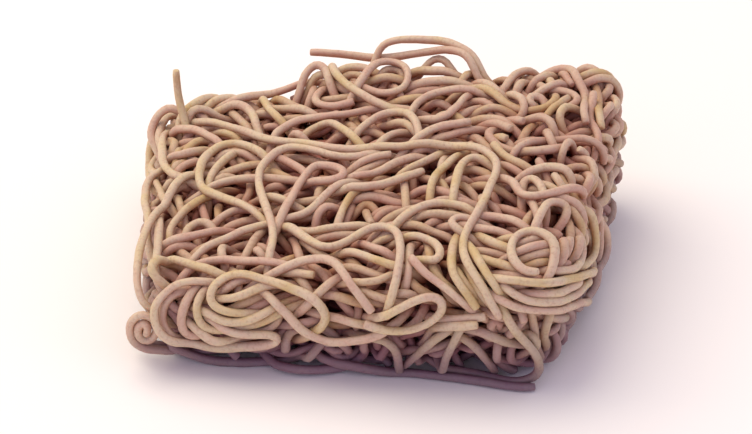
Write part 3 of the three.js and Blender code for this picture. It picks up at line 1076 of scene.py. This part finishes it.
strides = [neighbours(stride) for stride in (1, 2, 3, 4)]  # wider ones smooth longer waves
print("each point leans on", len(strides[0]), "others, at", len(strides), "strides in turn")

# %% [markdown]
# ## Settling
# The round is repeated until the overlaps hardly shrink any more. To find the pairs is the slow
# part, and the points move little in one round, so they are looked up again at every sixth one.

# %% Let them settle
ROUNDS = 420
NEW_PAIRS_EVERY = 6  # rounds
NEW_OUT_EVERY = 4  # rounds
PRINT_EVERY = 60  # rounds
LOWEST = 1.2 * R  # mm above the tray, the lowest that the middle of a strand can lie

for number in range(ROUNDS):
    if number % NEW_PAIRS_EVERY == 0:
        contacts = find_contacts(points)
    points, overlap = push_apart(points, contacts)
    if number % NEW_OUT_EVERY == 0:
        out = np.where(by_hand[:, None], outward(points), crowd_outward(points))
    points = push_inside(points, out)
    points = stay_springy(points, strides[number % len(strides)])
    points[:, 2] = np.maximum(points[:, 2], LOWEST)
    if number % PRINT_EVERY == 0 or number == ROUNDS - 1:
        print("round", number, "pairs", len(overlap), "mean overlap",
              round(overlap.mean(), 3), "worst", round(overlap.max(), 2), "mm")

# %% [markdown]
# ## One tool for nodes
# The doughs and the Geometry Nodes tree below are built with the same small helper: it adds one
# node, sets its options, and fills each input with a value or with a link. Colours are given as
# on a screen, in sRGB, and Blender counts in linear light, so another helper turns them.

# %% Add a node with its settings and links
def add_node(tree, kind, inputs=None, **settings):
    """Adds one node. An input is a plain value, or another node's output to link to it."""
    node = tree.nodes.new(kind)
    for name, value in settings.items():
        setattr(node, name, value)
    for name, value in (inputs or {}).items():
        if isinstance(value, bpy.types.NodeSocket):
            tree.links.new(value, node.inputs[name])
        else:
            node.inputs[name].default_value = value
    return node


def linear(hex_colour):
    """An sRGB colour such as "#D8BB96" as linear red, green, blue and alpha."""
    parts = [int(hex_colour[i:i + 2], 16) / 255 for i in (1, 3, 5)]
    parts = [c / 12.92 if c <= 0.04045 else ((c + 0.055) / 1.055) ** 2.4 for c in parts]
    return (*parts, 1.0)


print("middle grey is", round(linear("#808080")[0], 3), "in linear light")

# %% [markdown]
# ## The colours of the dough
# Each strand has its own tan: some are yellower, some pinker, some pale with flour. Four coats lie
# over it, as thin as glazes: flecks of bran, and three of painted shade that turn it redder on its
# inner side, wine brown deep inside the block, and violet brown next to the tray. To paint each
# strand by hand would take days, and these few rules hold for all of them.

# %% Mix the colours of the dough
OWN_COLOURS = ["#CAA78F", "#CFB297", "#D2BC9D", "#D2BD94", "#CAB17C"]  # pinkish to yellowish
FIRST_COLOUR = 0.15  # where on the ramp they begin
COLOUR_SPAN = 0.7  # how far along the ramp they reach
BRAN_AND_SHADE_COATS = [  # what it follows, where that starts and is full, the most of the coat, its colour
    ("bran", 0.5, 0.8, 0.5, "#A2775F"),  # brown
    # Painted shade: the side of a strand that faces into the block and down turns redder brown.
    ("inner", 0.2, 0.9, 0.62, "#AA5E3C"),  # the side that faced into the block dried last
    # Painted shade: wine brown deep under the outline, where little light gets in.
    ("deep", 0.0, 1.0, 0.8, "#96402F"),  # wine brown inside the block, where it dried slowly
    # Painted shade: greyish violet brown low down, next to the tray.
    ("low", 0.0, 1.0, 0.85, "#5C4160"),  # greyish violet brown next to the tray
]


def own_tan(tree, tint, drift):
    """The tan of each strand: half of it is its own, and half drifts along it."""
    # Noise seldom leaves 0.3 to 0.7, so that much of it is stretched from nought to one.
    drift = add_node(tree, "ShaderNodeMapRange", {"Value": drift, "From Min": 0.3, "From Max": 0.7})
    # The inputs of a Mix node: 0 is the share, 2 and 3 are numbers, 6 and 7 are colours.
    both = add_node(tree, "ShaderNodeMix", {0: 0.5, 2: tint, 3: drift.outputs["Result"]})
    ramp = add_node(tree, "ShaderNodeValToRGB", {"Fac": both.outputs[0]})
    elements = ramp.color_ramp.elements
    while len(elements) < len(OWN_COLOURS):
        elements.new(0.5)
    for number, colour in enumerate(OWN_COLOURS):
        elements[number].position = FIRST_COLOUR + COLOUR_SPAN * number / (len(OWN_COLOURS) - 1)
        elements[number].color = linear(colour)
    return ramp.outputs["Color"]


def coat(tree, under, sign, start, full, most, colour):
    """Lays a colour over another, the more of it the nearer the sign comes from start to full."""
    amount = add_node(tree, "ShaderNodeMapRange", {"Value": sign, "From Min": start,
                                                   "From Max": full, "To Max": most})
    mix = add_node(tree, "ShaderNodeMix", {0: amount.outputs["Result"], 6: under,
                                           7: linear(colour)}, data_type="RGBA")
    return mix.outputs[2]


print(len(OWN_COLOURS), "tans and", len(BRAN_AND_SHADE_COATS), "coats over them")

# %% [markdown]
# ## Dried whole wheat dough
# Whole wheat noodles are pressed through a die and dried, so they are matt and slightly mealy:
# roughness 0.6, the IOR of 1.45 that most food has, and a little light that goes in and comes out
# reddish. A bitmap of dough would have to be wrapped round every strand, so noise is used. It
# reads the place on the straightened-out strand in millimetres, so it follows each bend.

# %% Make the dough
PATTERNS = {  # mm from patch to patch, and how many finer patterns lie in it
    "drift": (8.0, 3.0),  # dried faster here, slower there
    "bran": (0.7, 2.0),  # flecks about half a millimetre across
    "grain": (0.35, 3.0),  # flour, drawn coarser than it is, so that it shows
}


def dough_signs(tree):
    """All that the colours follow: what each point knows, and noise along the straight strand."""
    signs = {}
    for key in ("tint", "inner", "deep", "low"):
        signs[key] = add_node(tree, "ShaderNodeAttribute", attribute_name=key).outputs["Fac"]
    place = add_node(tree, "ShaderNodeAttribute", attribute_name="strand_place").outputs["Vector"]
    for key, (size, detail) in PATTERNS.items():
        noise = add_node(tree, "ShaderNodeTexNoise", {"Vector": place, "Scale": 1 / size,
                                                      "Detail": detail})
        signs[key] = noise.outputs["Fac"]
    return signs


def make_dough(name):
    """Matt tan dough; painted shade makes it darker and redder deep in the block, violet brown near
    the tray.
    """
    material = bpy.data.materials.new(name)
    material.use_nodes = True
    tree = material.node_tree
    tree.nodes.clear()
    signs = dough_signs(tree)
    colour = own_tan(tree, signs["tint"], signs["drift"])
    for key, start, full, most, over in BRAN_AND_SHADE_COATS:
        colour = coat(tree, colour, signs[key], start, full, most, over)
    # Grains of flour, which stand less than 0.06 mm high.
    bump = add_node(tree, "ShaderNodeBump", {"Height": signs["grain"], "Strength": 0.4,
                                             "Distance": 0.06 * MM})
    # Light goes up to 0.7 mm into the dough, and red light furthest.
    shader = add_node(tree, "ShaderNodeBsdfPrincipled", {
        "Base Color": colour,
        "Roughness": 0.6,
        "Normal": bump.outputs["Normal"],
        "IOR": 1.45,
        "Subsurface Weight": 0.15,
        "Subsurface Radius": (1.0, 0.35, 0.25),
        "Subsurface Scale": 0.7 * MM,
    })
    add_node(tree, "ShaderNodeOutputMaterial", {"Surface": shader.outputs["BSDF"]})
    return material


dough = make_dough("dried_whole_wheat_dough")
print(dough.name, "has", len(dough.node_tree.nodes), "nodes")

# %% [markdown]
# ## From lines to tubes
# A strand is a round section carried along a line, which is what Geometry Nodes do best: the
# points become curves, the curves take their thickness, and a ring of sides runs along them. A
# curve object with a bevel would look the same, but it can't carry what the dough needs to know
# about each point, such as its tint and how deep it lies.

# %% Build the tree that makes the tubes
TUBE_INPUTS = [("Lines", "Geometry"), ("Thickness", "Float"), ("Sides", "Int"),
               ("Dough", "Material")]


def add_half_thickness(tree, given):
    """The radius of a strand at each point: half its thickness, times its own girth there."""
    girth = add_node(tree, "GeometryNodeInputNamedAttribute", {"Name": "girth"}, data_type="FLOAT")
    wide = add_node(tree, "ShaderNodeMath", {0: girth.outputs["Attribute"],
                                             1: given.outputs["Thickness"]}, operation="MULTIPLY")
    half = add_node(tree, "ShaderNodeMath", {0: wide.outputs[0], 1: 0.5}, operation="MULTIPLY")
    return half.outputs[0]


def make_tube_tree():
    """Geometry Nodes: lines of points in, round closed tubes out."""
    tree = bpy.data.node_groups.new("strand_tubes", "GeometryNodeTree")
    for name, kind in TUBE_INPUTS:
        tree.interface.new_socket(name, in_out="INPUT", socket_type="NodeSocket" + kind)
    tree.interface.new_socket("Strands", in_out="OUTPUT", socket_type="NodeSocketGeometry")
    given = add_node(tree, "NodeGroupInput")
    curves = add_node(tree, "GeometryNodeMeshToCurve", {"Mesh": given.outputs["Lines"]})
    ring = add_node(tree, "GeometryNodeCurvePrimitiveCircle",
                    {"Resolution": given.outputs["Sides"], "Radius": 1.0})
    side = add_node(tree, "GeometryNodeInputIndex")
    numbered = add_node(tree, "GeometryNodeStoreNamedAttribute",
                        {"Geometry": ring.outputs["Curve"], "Name": "side",
                         "Value": side.outputs["Index"]}, data_type="FLOAT", domain="POINT")
    tubes = add_node(tree, "GeometryNodeCurveToMesh",
                     {"Curve": curves.outputs["Curve"], "Fill Caps": True,
                      "Profile Curve": numbered.outputs["Geometry"],
                      "Scale": add_half_thickness(tree, given)})
    smooth = add_node(tree, "GeometryNodeSetShadeSmooth", {"Geometry": tubes.outputs["Mesh"]})
    real = add_node(tree, "GeometryNodeRealizeInstances", {"Geometry": smooth.outputs["Geometry"]})
    coated = add_node(tree, "GeometryNodeSetMaterial", {"Geometry": real.outputs["Geometry"],
                                                        "Material": given.outputs["Dough"]})
    add_node(tree, "NodeGroupOutput", {"Strands": coated.outputs["Geometry"]})
    return tree


tube_tree = make_tube_tree()
print(tube_tree.name, "has", len(tube_tree.nodes), "nodes")

# %% [markdown]
# ## What each point of a strand knows
# No two noodles are quite alike, and one noodle changes along its length. All of that is stored
# as attributes on the bare lines, before they become tubes: the girth for the Geometry Nodes, and
# the tint and the place along the strand for the dough, with the depth in the block and the
# nearness of the tray for its painted shade. Each strand draws its numbers from its own seed, so one
# can change without the rest.

# %% Note the thickness and the colour of each strand
CAP = 0.12  # mm from the end of a strand to the ring that rounds its edge
GIRTH_SPREAD = 0.05  # share by which strands are thicker or thinner here and there
GIRTH_PLACES = 6  # places along a strand with a thickness of their own
END_SHARES = (0.6, 0.9)  # thickness at the very end, and at the ring next to it
APART = 500  # mm between strands in the noise, at most, so that no two have the same flecks
# Painted shade: how deep under the outline the dough turns wine brown.
DEEP_START = 0.6  # mm under the outline where the dough begins to darken
DEEP_RUN = 4.2  # mm further down, it is as dark as it gets
# Painted shade: how high above the tray the violet brown reaches, on the proud strands and on the
# rest.
LOW_RUN = 9.0  # mm above the tray that the proud strands take up its violet cast
SHADED_RUN = 18.0  # the same for the base and for all that lies behind


def centre_line(number):
    """The settled points of one strand, with one more just inside each end."""
    line = points[first[number]:last[number] + 1]
    head = line[:1] + CAP * unit(line[1:2] - line[:1])
    foot = line[-1:] + CAP * unit(line[-2:-1] - line[-1:])
    return np.vstack([line[:1], head, line[1:-1], foot, line[-1:]])


def end_taper(count):
    """Thickness along a strand: the cut ends are slightly rounded off."""
    taper = np.ones(count)
    taper[[0, 1]] = END_SHARES
    taper[[-1, -2]] = END_SHARES
    return taper


def strand_facts(number, line):
    """What each point of a strand knows about itself."""
    count = len(line)
    look = np.random.default_rng(number)
    swell = look.normal(1, GIRTH_SPREAD, GIRTH_PLACES)
    swell = np.interp(np.arange(count), np.linspace(0, count, GIRTH_PLACES), swell)
    run = LOW_RUN if number < len(ROUTES) - len(BASE) else SHADED_RUN
    return {
        "girth": end_taper(count) * swell,
        "tint": np.full(count, look.random()),
        "along": np.arange(count) * STEP + APART * look.random(),
        "deep": np.clip((-read_grid(field, line) - DEEP_START) / DEEP_RUN, 0, 1),
        "low": np.clip(1 - line[:, 2] / run, 0, 1),
    }


print("the wave's tint is", round(strand_facts(0, centre_line(0))["tint"][0], 2))

# %% [markdown]
# ## Bare lines into tubes
# A mesh may hold nothing but points and edges, and such bare lines can carry any attribute. The
# modifier makes tubes of them, and its result is stored as a plain mesh, because the points of the
# tubes are moved one by one further on, which isn't possible while the modifier is live.

# %% Turn the lines into tubes
def store(mesh, name, values):
    """Stores a number on every point of a mesh."""
    attribute = mesh.attributes.new(name, "FLOAT", "POINT")
    attribute.data.foreach_set("value", values.astype(np.float32))


def make_lines(name, numbers):
    """A mesh of bare lines, one for each strand, that knows what each point knows."""
    lines = [centre_line(number) for number in numbers]
    lengths = [len(line) for line in lines]
    start = np.delete(np.arange(sum(lengths)), np.cumsum(lengths) - 1)
    mesh = bpy.data.meshes.new(name)
    mesh.from_pydata(np.vstack(lines) * MM, np.stack([start, start + 1], axis=1).tolist(), [])
    facts = [strand_facts(number, line) for number, line in zip(numbers, lines)]
    for key in facts[0]:
        store(mesh, key, np.concatenate([fact[key] for fact in facts]))
    store(mesh, "ring", np.arange(sum(lengths)))
    return mesh


def make_tubes(name, lines, sides, material):
    """One object of round strands, as a plain mesh, from a mesh of bare lines."""
    piece = bpy.data.objects.new(name, lines)
    bpy.context.scene.collection.objects.link(piece)
    modifier = piece.modifiers.new("tubes", "NODES")
    modifier.node_group = tube_tree
    values = {"Thickness": STRAND * MM, "Sides": sides, "Dough": material}
    for item in tube_tree.interface.items_tree:
        if item.name in values:
            modifier[item.identifier] = values[item.name]
    graph = bpy.context.evaluated_depsgraph_get()
    tubes = bpy.data.meshes.new_from_object(piece.evaluated_get(graph))
    piece.modifiers.clear()
    piece.data = tubes
    tubes.name = name
    return piece


bare_wave = make_lines("bare_wave", [0])
print("the bare wave has", len(bare_wave.vertices), "points and", len(bare_wave.edges), "edges")
bpy.data.meshes.remove(bare_wave)

# %% [markdown]
# ## Oval and lumpy
# Dough shrinks unevenly as it dries, so a section is a little wider one way, and that way turns
# slowly along the strand. A noise on the radius in the Geometry Nodes would be simpler, but it is
# the same for all sides of a ring. Here each point moves on its own, by less than 0.1 mm.

# %% Press the sections out of round, and note the side that takes painted shade
UNEVEN = 0.05  # share by which a section is wider one way than the other
LUMPS = 0.03  # share by which the thickness rises and falls along a strand
# How far a point faces into the block and away from the sky sets its painted shade.
INNER_MIDDLE = 0.5  # how inner a point is that faces neither in nor out
INNER_RISE = 0.6  # how much that grows towards straight in, and shrinks towards straight out
SKY = 0.7  # how much the open side looks up, next to one step straight out of the block


def read_attribute(mesh, name):
    """A number stored on every point of a mesh."""
    values = np.empty(len(mesh.vertices), np.float32)
    mesh.attributes[name].data.foreach_get("value", values)
    return values


def press_uneven(mesh, ring, turn, along):
    """Makes the round sections a little oval and lumpy. Gives the points' places in mm."""
    place = np.empty(3 * len(ring), np.float32)
    mesh.vertices.foreach_get("co", place)
    place = place.reshape(-1, 3)
    ring = ring.astype(int)
    sums = np.stack([np.bincount(ring, place[:, axis]) for axis in range(3)], axis=1)
    centre = (sums / np.bincount(ring)[:, None])[ring]
    oval = UNEVEN * np.sin(2 * turn + 0.3 * along)  # the wide way turns once in 42 mm
    lumps = LUMPS * np.sin(1.3 * along + 2 * np.sin(0.4 * along + turn))  # about 5 mm apart
    place = centre + (place - centre) * (1 + oval + lumps)[:, None]
    mesh.vertices.foreach_set("co", place.astype(np.float32).ravel())
    mesh.update()
    return place / MM


def note_painted_shade_side(mesh, place):
    """Stores how far each point faces into the block and away from the sky, from nought to one: that
    side is painted darker as shade.
    """
    normal = np.empty(3 * len(place), np.float32)
    mesh.vertex_normals.foreach_get("vector", normal)
    open_way = unit(outward(place) + np.array([0, 0, SKY]))
    facing = np.sum(normal.reshape(-1, 3) * open_way, axis=1)  # one: straight into the open
    store(mesh, "inner", np.clip(INNER_MIDDLE - INNER_RISE * facing, 0, 1))


print("a section is up to", round(2 * STRAND * UNEVEN, 2), "mm wider one way than the other")

# %% [markdown]
# ## A flat map of every strand
# To bake the dough, a flat map is needed, and Blender's own unwrapping would cut hundreds of
# tubes into crumbs. A tube unrolls to a strip that is as wide as its sides. So the strips are laid
# out end to end in long rows, ring after ring. The round ends hardly show, and get a sliver each.

# %% Unroll the strands onto the map
LONGER = 2.1  # a face of a tube is about this many times as long as it is wide
CAP_ACROSS = 0.4  # of a ring's room on the map, the half width of a round end
CAP_UP = 0.0004  # of the whole map, its half height


def lay_flat(mesh, side, ring, turn, sides):
    """Lays the strands out straight, side by side in rows, as a UV map."""
    point = np.empty(len(mesh.loops), np.int32)
    mesh.loops.foreach_get("vertex_index", point)
    size = np.empty(len(mesh.polygons), np.int32)
    mesh.polygons.foreach_get("loop_total", size)
    first_corner = np.cumsum(size) - size
    face = np.repeat(np.arange(len(size)), size)
    side = side[point].astype(float)
    ring = ring[point].astype(float)
    turn = turn[point]
    width = np.maximum.reduceat(side, first_corner) - np.minimum.reduceat(side, first_corner)
    wraps = (width[face] > sides / 2) & (side == 0)
    side[wraps] = sides  # the last strip of a tube ends where its first one began
    face_ring = np.minimum.reduceat(ring, first_corner)[face]
    rings = int(ring.max()) + 1
    per_row = int(math.sqrt(rings * (sides + 1) / LONGER))
    rows = math.ceil(rings / per_row)
    row = np.floor(face_ring / per_row)
    u = (face_ring % per_row + ring - face_ring) / per_row
    v = (row + (side + 0.5) / (sides + 1)) / rows
    cap = size[face] > 4
    u[cap] += (0.5 + CAP_ACROSS * np.cos(turn[cap])) / per_row
    v[cap] = (row[cap] + 0.5) / rows + CAP_UP * np.sin(turn[cap])
    layer = mesh.uv_layers.new(name="OFBake")
    layer.uv.foreach_set("vector", np.stack([u, v], axis=1).astype(np.float32).ravel())
    print("flat map of", rows, "rows, with", per_row, "rings in each")


def finish_strands(mesh, sides):
    """Presses the strands uneven, and stores their straightened-out places and their flat map."""
    side, ring, along = (read_attribute(mesh, name) for name in ("side", "ring", "along"))
    turn = 2 * np.pi * side / sides
    note_painted_shade_side(mesh, press_uneven(mesh, ring, turn, along))
    place = np.stack([R * np.cos(turn), R * np.sin(turn), along], axis=1).astype(np.float32)
    attribute = mesh.attributes.new("strand_place", "FLOAT_VECTOR", "POINT")
    attribute.data.foreach_set("vector", place.ravel())
    lay_flat(mesh, side, ring, turn, sides)


# %% [markdown]
# ## Five pieces of noodles
# One mesh of all the strands would be too heavy to handle, so they are shared out. Those laid one
# by one are one piece with twelve sides to a strand, because they are seen from nearby. The crowd is
# four pieces with ten sides each, in the order in which it was walked.

# %% Make the pieces
SURFACE_SIDES = 12
CROWD_SIDES = 10


def make_piece(name, numbers, sides):
    """One piece of round strands of dough, from the strands of those numbers."""
    piece = make_tubes(name, make_lines(name + "_lines", numbers), sides, dough)
    finish_strands(piece.data, sides)
    triangles = sum(len(face.vertices) - 2 for face in piece.data.polygons)
    print(name, len(numbers), "strands,", triangles, "triangles")
    return piece


pieces = [make_piece("surface_noodles", range(len(laid)), SURFACE_SIDES)]
crowd_names = ("outer_noodles", "second_noodles", "third_noodles", "inner_noodles")
crowd_numbers = np.array_split(np.arange(len(laid), len(strands)), len(crowd_names))
for name, numbers in zip(crowd_names, crowd_numbers):
    pieces.append(make_piece(name, numbers, CROWD_SIDES))

# %% [markdown]
# ## The middle of the block
# Under the innermost strands nothing can be told apart. There the noodles are one dark, lumpy
# mass, and to draw each of them would only cost time. It is made from a ball: each of its points
# moves out from the heart of the block until it is 8 mm under the outline.

# %% Make the core
CORE_DEPTH = 8.0  # mm under the outline
FINENESS = 6  # subdivisions of the ball
REACH_OUT = 60.0  # mm from the heart, further than any side of the core
HALVINGS = 24  # each one halves the stretch in which the surface can lie
HEART_DROP = 2.0  # mm from the middle of the block down to the heart of the core
HEART = np.array([0.0, 0.0, 0.5 * (BLOCK_LOW[2] + BLOCK_HIGH[2]) - HEART_DROP])  # mm
FLATTER = np.array([1, 1, 0.6])  # the ridges are lower on the top than at the sides


def core_surface(rays):
    """How far the core reaches along each ray from its heart, found by halving."""
    near, far = np.zeros(len(rays)), np.full(len(rays), REACH_OUT)
    for _ in range(HALVINGS):
        middle = (near + far) / 2
        inside = read_grid(field, HEART + rays * middle[:, None]) < -CORE_DEPTH
        near, far = np.where(inside, middle, near), np.where(inside, far, middle)
    return near


def core_ridges(x, y):
    """Ridges 4 to 5 mm apart that wind across each other, up to 1 mm high."""
    across = np.sin(x * 1.3 + 2 * np.sin(y * 0.5)) * 0.5
    along = np.sin(y * 1.5 + 2 * np.sin(x * 0.4)) * 0.5
    return across + along


def make_core(name, material):
    """A closed lumpy body that fills the block below the innermost strands."""
    shape = bmesh.new()
    bmesh.ops.create_icosphere(shape, subdivisions=FINENESS, radius=1.0)
    mesh = bpy.data.meshes.new(name)
    shape.to_mesh(mesh)
    shape.free()
    rays = np.array([vertex.co for vertex in mesh.vertices])
    place = HEART + rays * core_surface(rays)[:, None]
    place = place + rays * core_ridges(place[:, 0], place[:, 1])[:, None] * FLATTER
    mesh.vertices.foreach_set("co", (place * MM).astype(np.float32).ravel())
    mesh.polygons.foreach_set("use_smooth", np.ones(len(mesh.polygons), bool))
    mesh.materials.append(material)
    piece = bpy.data.objects.new(name, mesh)
    bpy.context.scene.collection.objects.link(piece)
    print(name, "is", np.round(np.ptp(place, axis=0), 1), "mm,", len(mesh.polygons), "triangles")
    return piece


# %% [markdown]
# ## Dough in the dark
# What shows of the core, deep in a gap, is painted the wine brown shade of the deep strands. One
# flat colour would look like a painted wall there, so the tone changes about once for each strand.
# It needs no strand to follow, so the noise reads Object coordinates, which are the same as its
# place.

# %% Colour the core
def make_shade_painted_dough(name):
    """Matt dough painted a dark wine brown as shade, whose tone changes about once for each strand.
    """
    material = bpy.data.materials.new(name)
    material.use_nodes = True
    tree = material.node_tree
    place = add_node(tree, "ShaderNodeTexCoord").outputs["Object"]
    tone = add_node(tree, "ShaderNodeTexNoise", {"Vector": place, "Scale": 1 / (STRAND * MM),
                                                 "Detail": 3.0}).outputs["Fac"]
    # Painted shade: two dark wine browns stand for the shade deep between the strands.
    colour = coat(tree, linear("#5E3229"), tone, 0.3, 0.7, 1.0, "#764337")
    bump = add_node(tree, "ShaderNodeBump", {"Height": tone, "Strength": 0.4, "Distance": 0.2 * MM})
    shader = tree.nodes["Principled BSDF"]
    shader.inputs["Roughness"].default_value = 0.7
    tree.links.new(colour, shader.inputs["Base Color"])
    tree.links.new(bump.outputs["Normal"], shader.inputs["Normal"])
    return material


pieces.append(make_core("packed_middle", make_shade_painted_dough("shade_painted_wheat_dough")))
print(len(pieces), "pieces in all")

# %% [markdown]
# ## The table
# A block like this is shown on plain white paper. A sheet 6 m wide has no edge in any view, and
# it is matt, so that it takes a soft shadow and gives some light back to the foot of the block.

# %% Lay the floor
HALF_SHEET = 3.0  # metres

sheet = bpy.data.meshes.new("floor")
sheet_corners = [(HALF_SHEET * x, HALF_SHEET * y, 0) for x, y in ((-1, -1), (1, -1), (1, 1), (-1, 1))]
sheet.from_pydata(sheet_corners, [], [(0, 1, 2, 3)])
floor = bpy.data.objects.new("floor", sheet)
bpy.context.scene.collection.objects.link(floor)
paper = bpy.data.materials.new("matt_white_paper")
paper.use_nodes = True
paper_look = paper.node_tree.nodes["Principled BSDF"].inputs
paper_look["Base Color"].default_value = linear("#FAF9F2")
paper_look["Roughness"].default_value = 0.9
sheet.materials.append(paper)
print("a floor of", 2 * HALF_SHEET, "m")

# %% [markdown]
# ## The light
# The room is bright and nearly white, with a breath of violet, and gives most of the light. One
# large lamp from the upper left is warmer and models the strands. Two weak violet lamps fill the
# front and the right end, which turns the gaps between the strands a plum brown. Large lamps give
# soft shadows, as a studio's soft boxes do.

# %% Set the lights
ROOM_COLOUR = "#E4DBEA"
ROOM_STRENGTH = 0.86
LIGHTS = [  # name, place in metres, size in metres, power in watts, colour
    ("key", (-0.45, 0.22, 0.87), 1.0, 7.9, "#FFF3DB"),
    ("front_fill", (-0.35, -0.95, 0.45), 0.7, 1.2, "#B49CFF"),
    ("right_fill", (0.95, -0.35, 0.3), 0.6, 0.7, "#A98CFF"),
]


def add_light(name, place, size, power, colour):
    """A square soft light that looks at the block."""
    data = bpy.data.lights.new(name, "AREA")
    data.size = size
    data.energy = power
    data.color = linear(colour)[:3]
    light = bpy.data.objects.new(name, data)
    bpy.context.scene.collection.objects.link(light)
    light.location = place
    light.rotation_euler = (-Vector(place)).to_track_quat("-Z", "Y").to_euler()


for light in LIGHTS:
    add_light(*light)
world = bpy.data.worlds.new("studio")
world.use_nodes = True
room = world.node_tree.nodes["Background"].inputs
room["Color"].default_value = linear(ROOM_COLOUR)
room["Strength"].default_value = ROOM_STRENGTH
bpy.context.scene.world = world
print(len(LIGHTS), "lamps and the room")

# %% [markdown]
# ## The camera
# The block is seen from in front, a little from its right, and from about a third of the way up.
# A long lens from 65 cm keeps its edges nearly parallel. The camera looks at the middle of the
# block, so it needs no shift, and plain colours come out as they are with the Standard view.

# %% Set the camera
AZIMUTH = math.radians(5)  # to the right of straight in front
ELEVATION = math.radians(31)
DISTANCE = 0.65  # metres
LENS = 160.0  # mm, on a sensor 36 mm wide
TARGET = Vector((0.0, 0.0, 0.0145))  # metres

camera_data = bpy.data.cameras.new("camera")
camera_data.sensor_width = 36.0
camera_data.lens = LENS
camera = bpy.data.objects.new("camera", camera_data)
bpy.context.scene.collection.objects.link(camera)
backwards = Vector((math.sin(AZIMUTH) * math.cos(ELEVATION),
                    -math.cos(AZIMUTH) * math.cos(ELEVATION), math.sin(ELEVATION)))
camera.location = TARGET + DISTANCE * backwards
camera.rotation_euler = backwards.to_track_quat("Z", "Y").to_euler()
bpy.context.scene.camera = camera
bpy.context.scene.view_settings.view_transform = "Standard"
print("the camera stands at", [round(c, 3) for c in camera.location], "m")

# %% [markdown]
# ## Tie the strands to the frame
# Nothing moves on a block of noodles, so every piece rides on the one body that there is. All of
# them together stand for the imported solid, which stays hidden and is still what things bump into.

# %% Tie the pieces to the frame
for piece in pieces:
    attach(piece, "root")
    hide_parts("noodle_block")
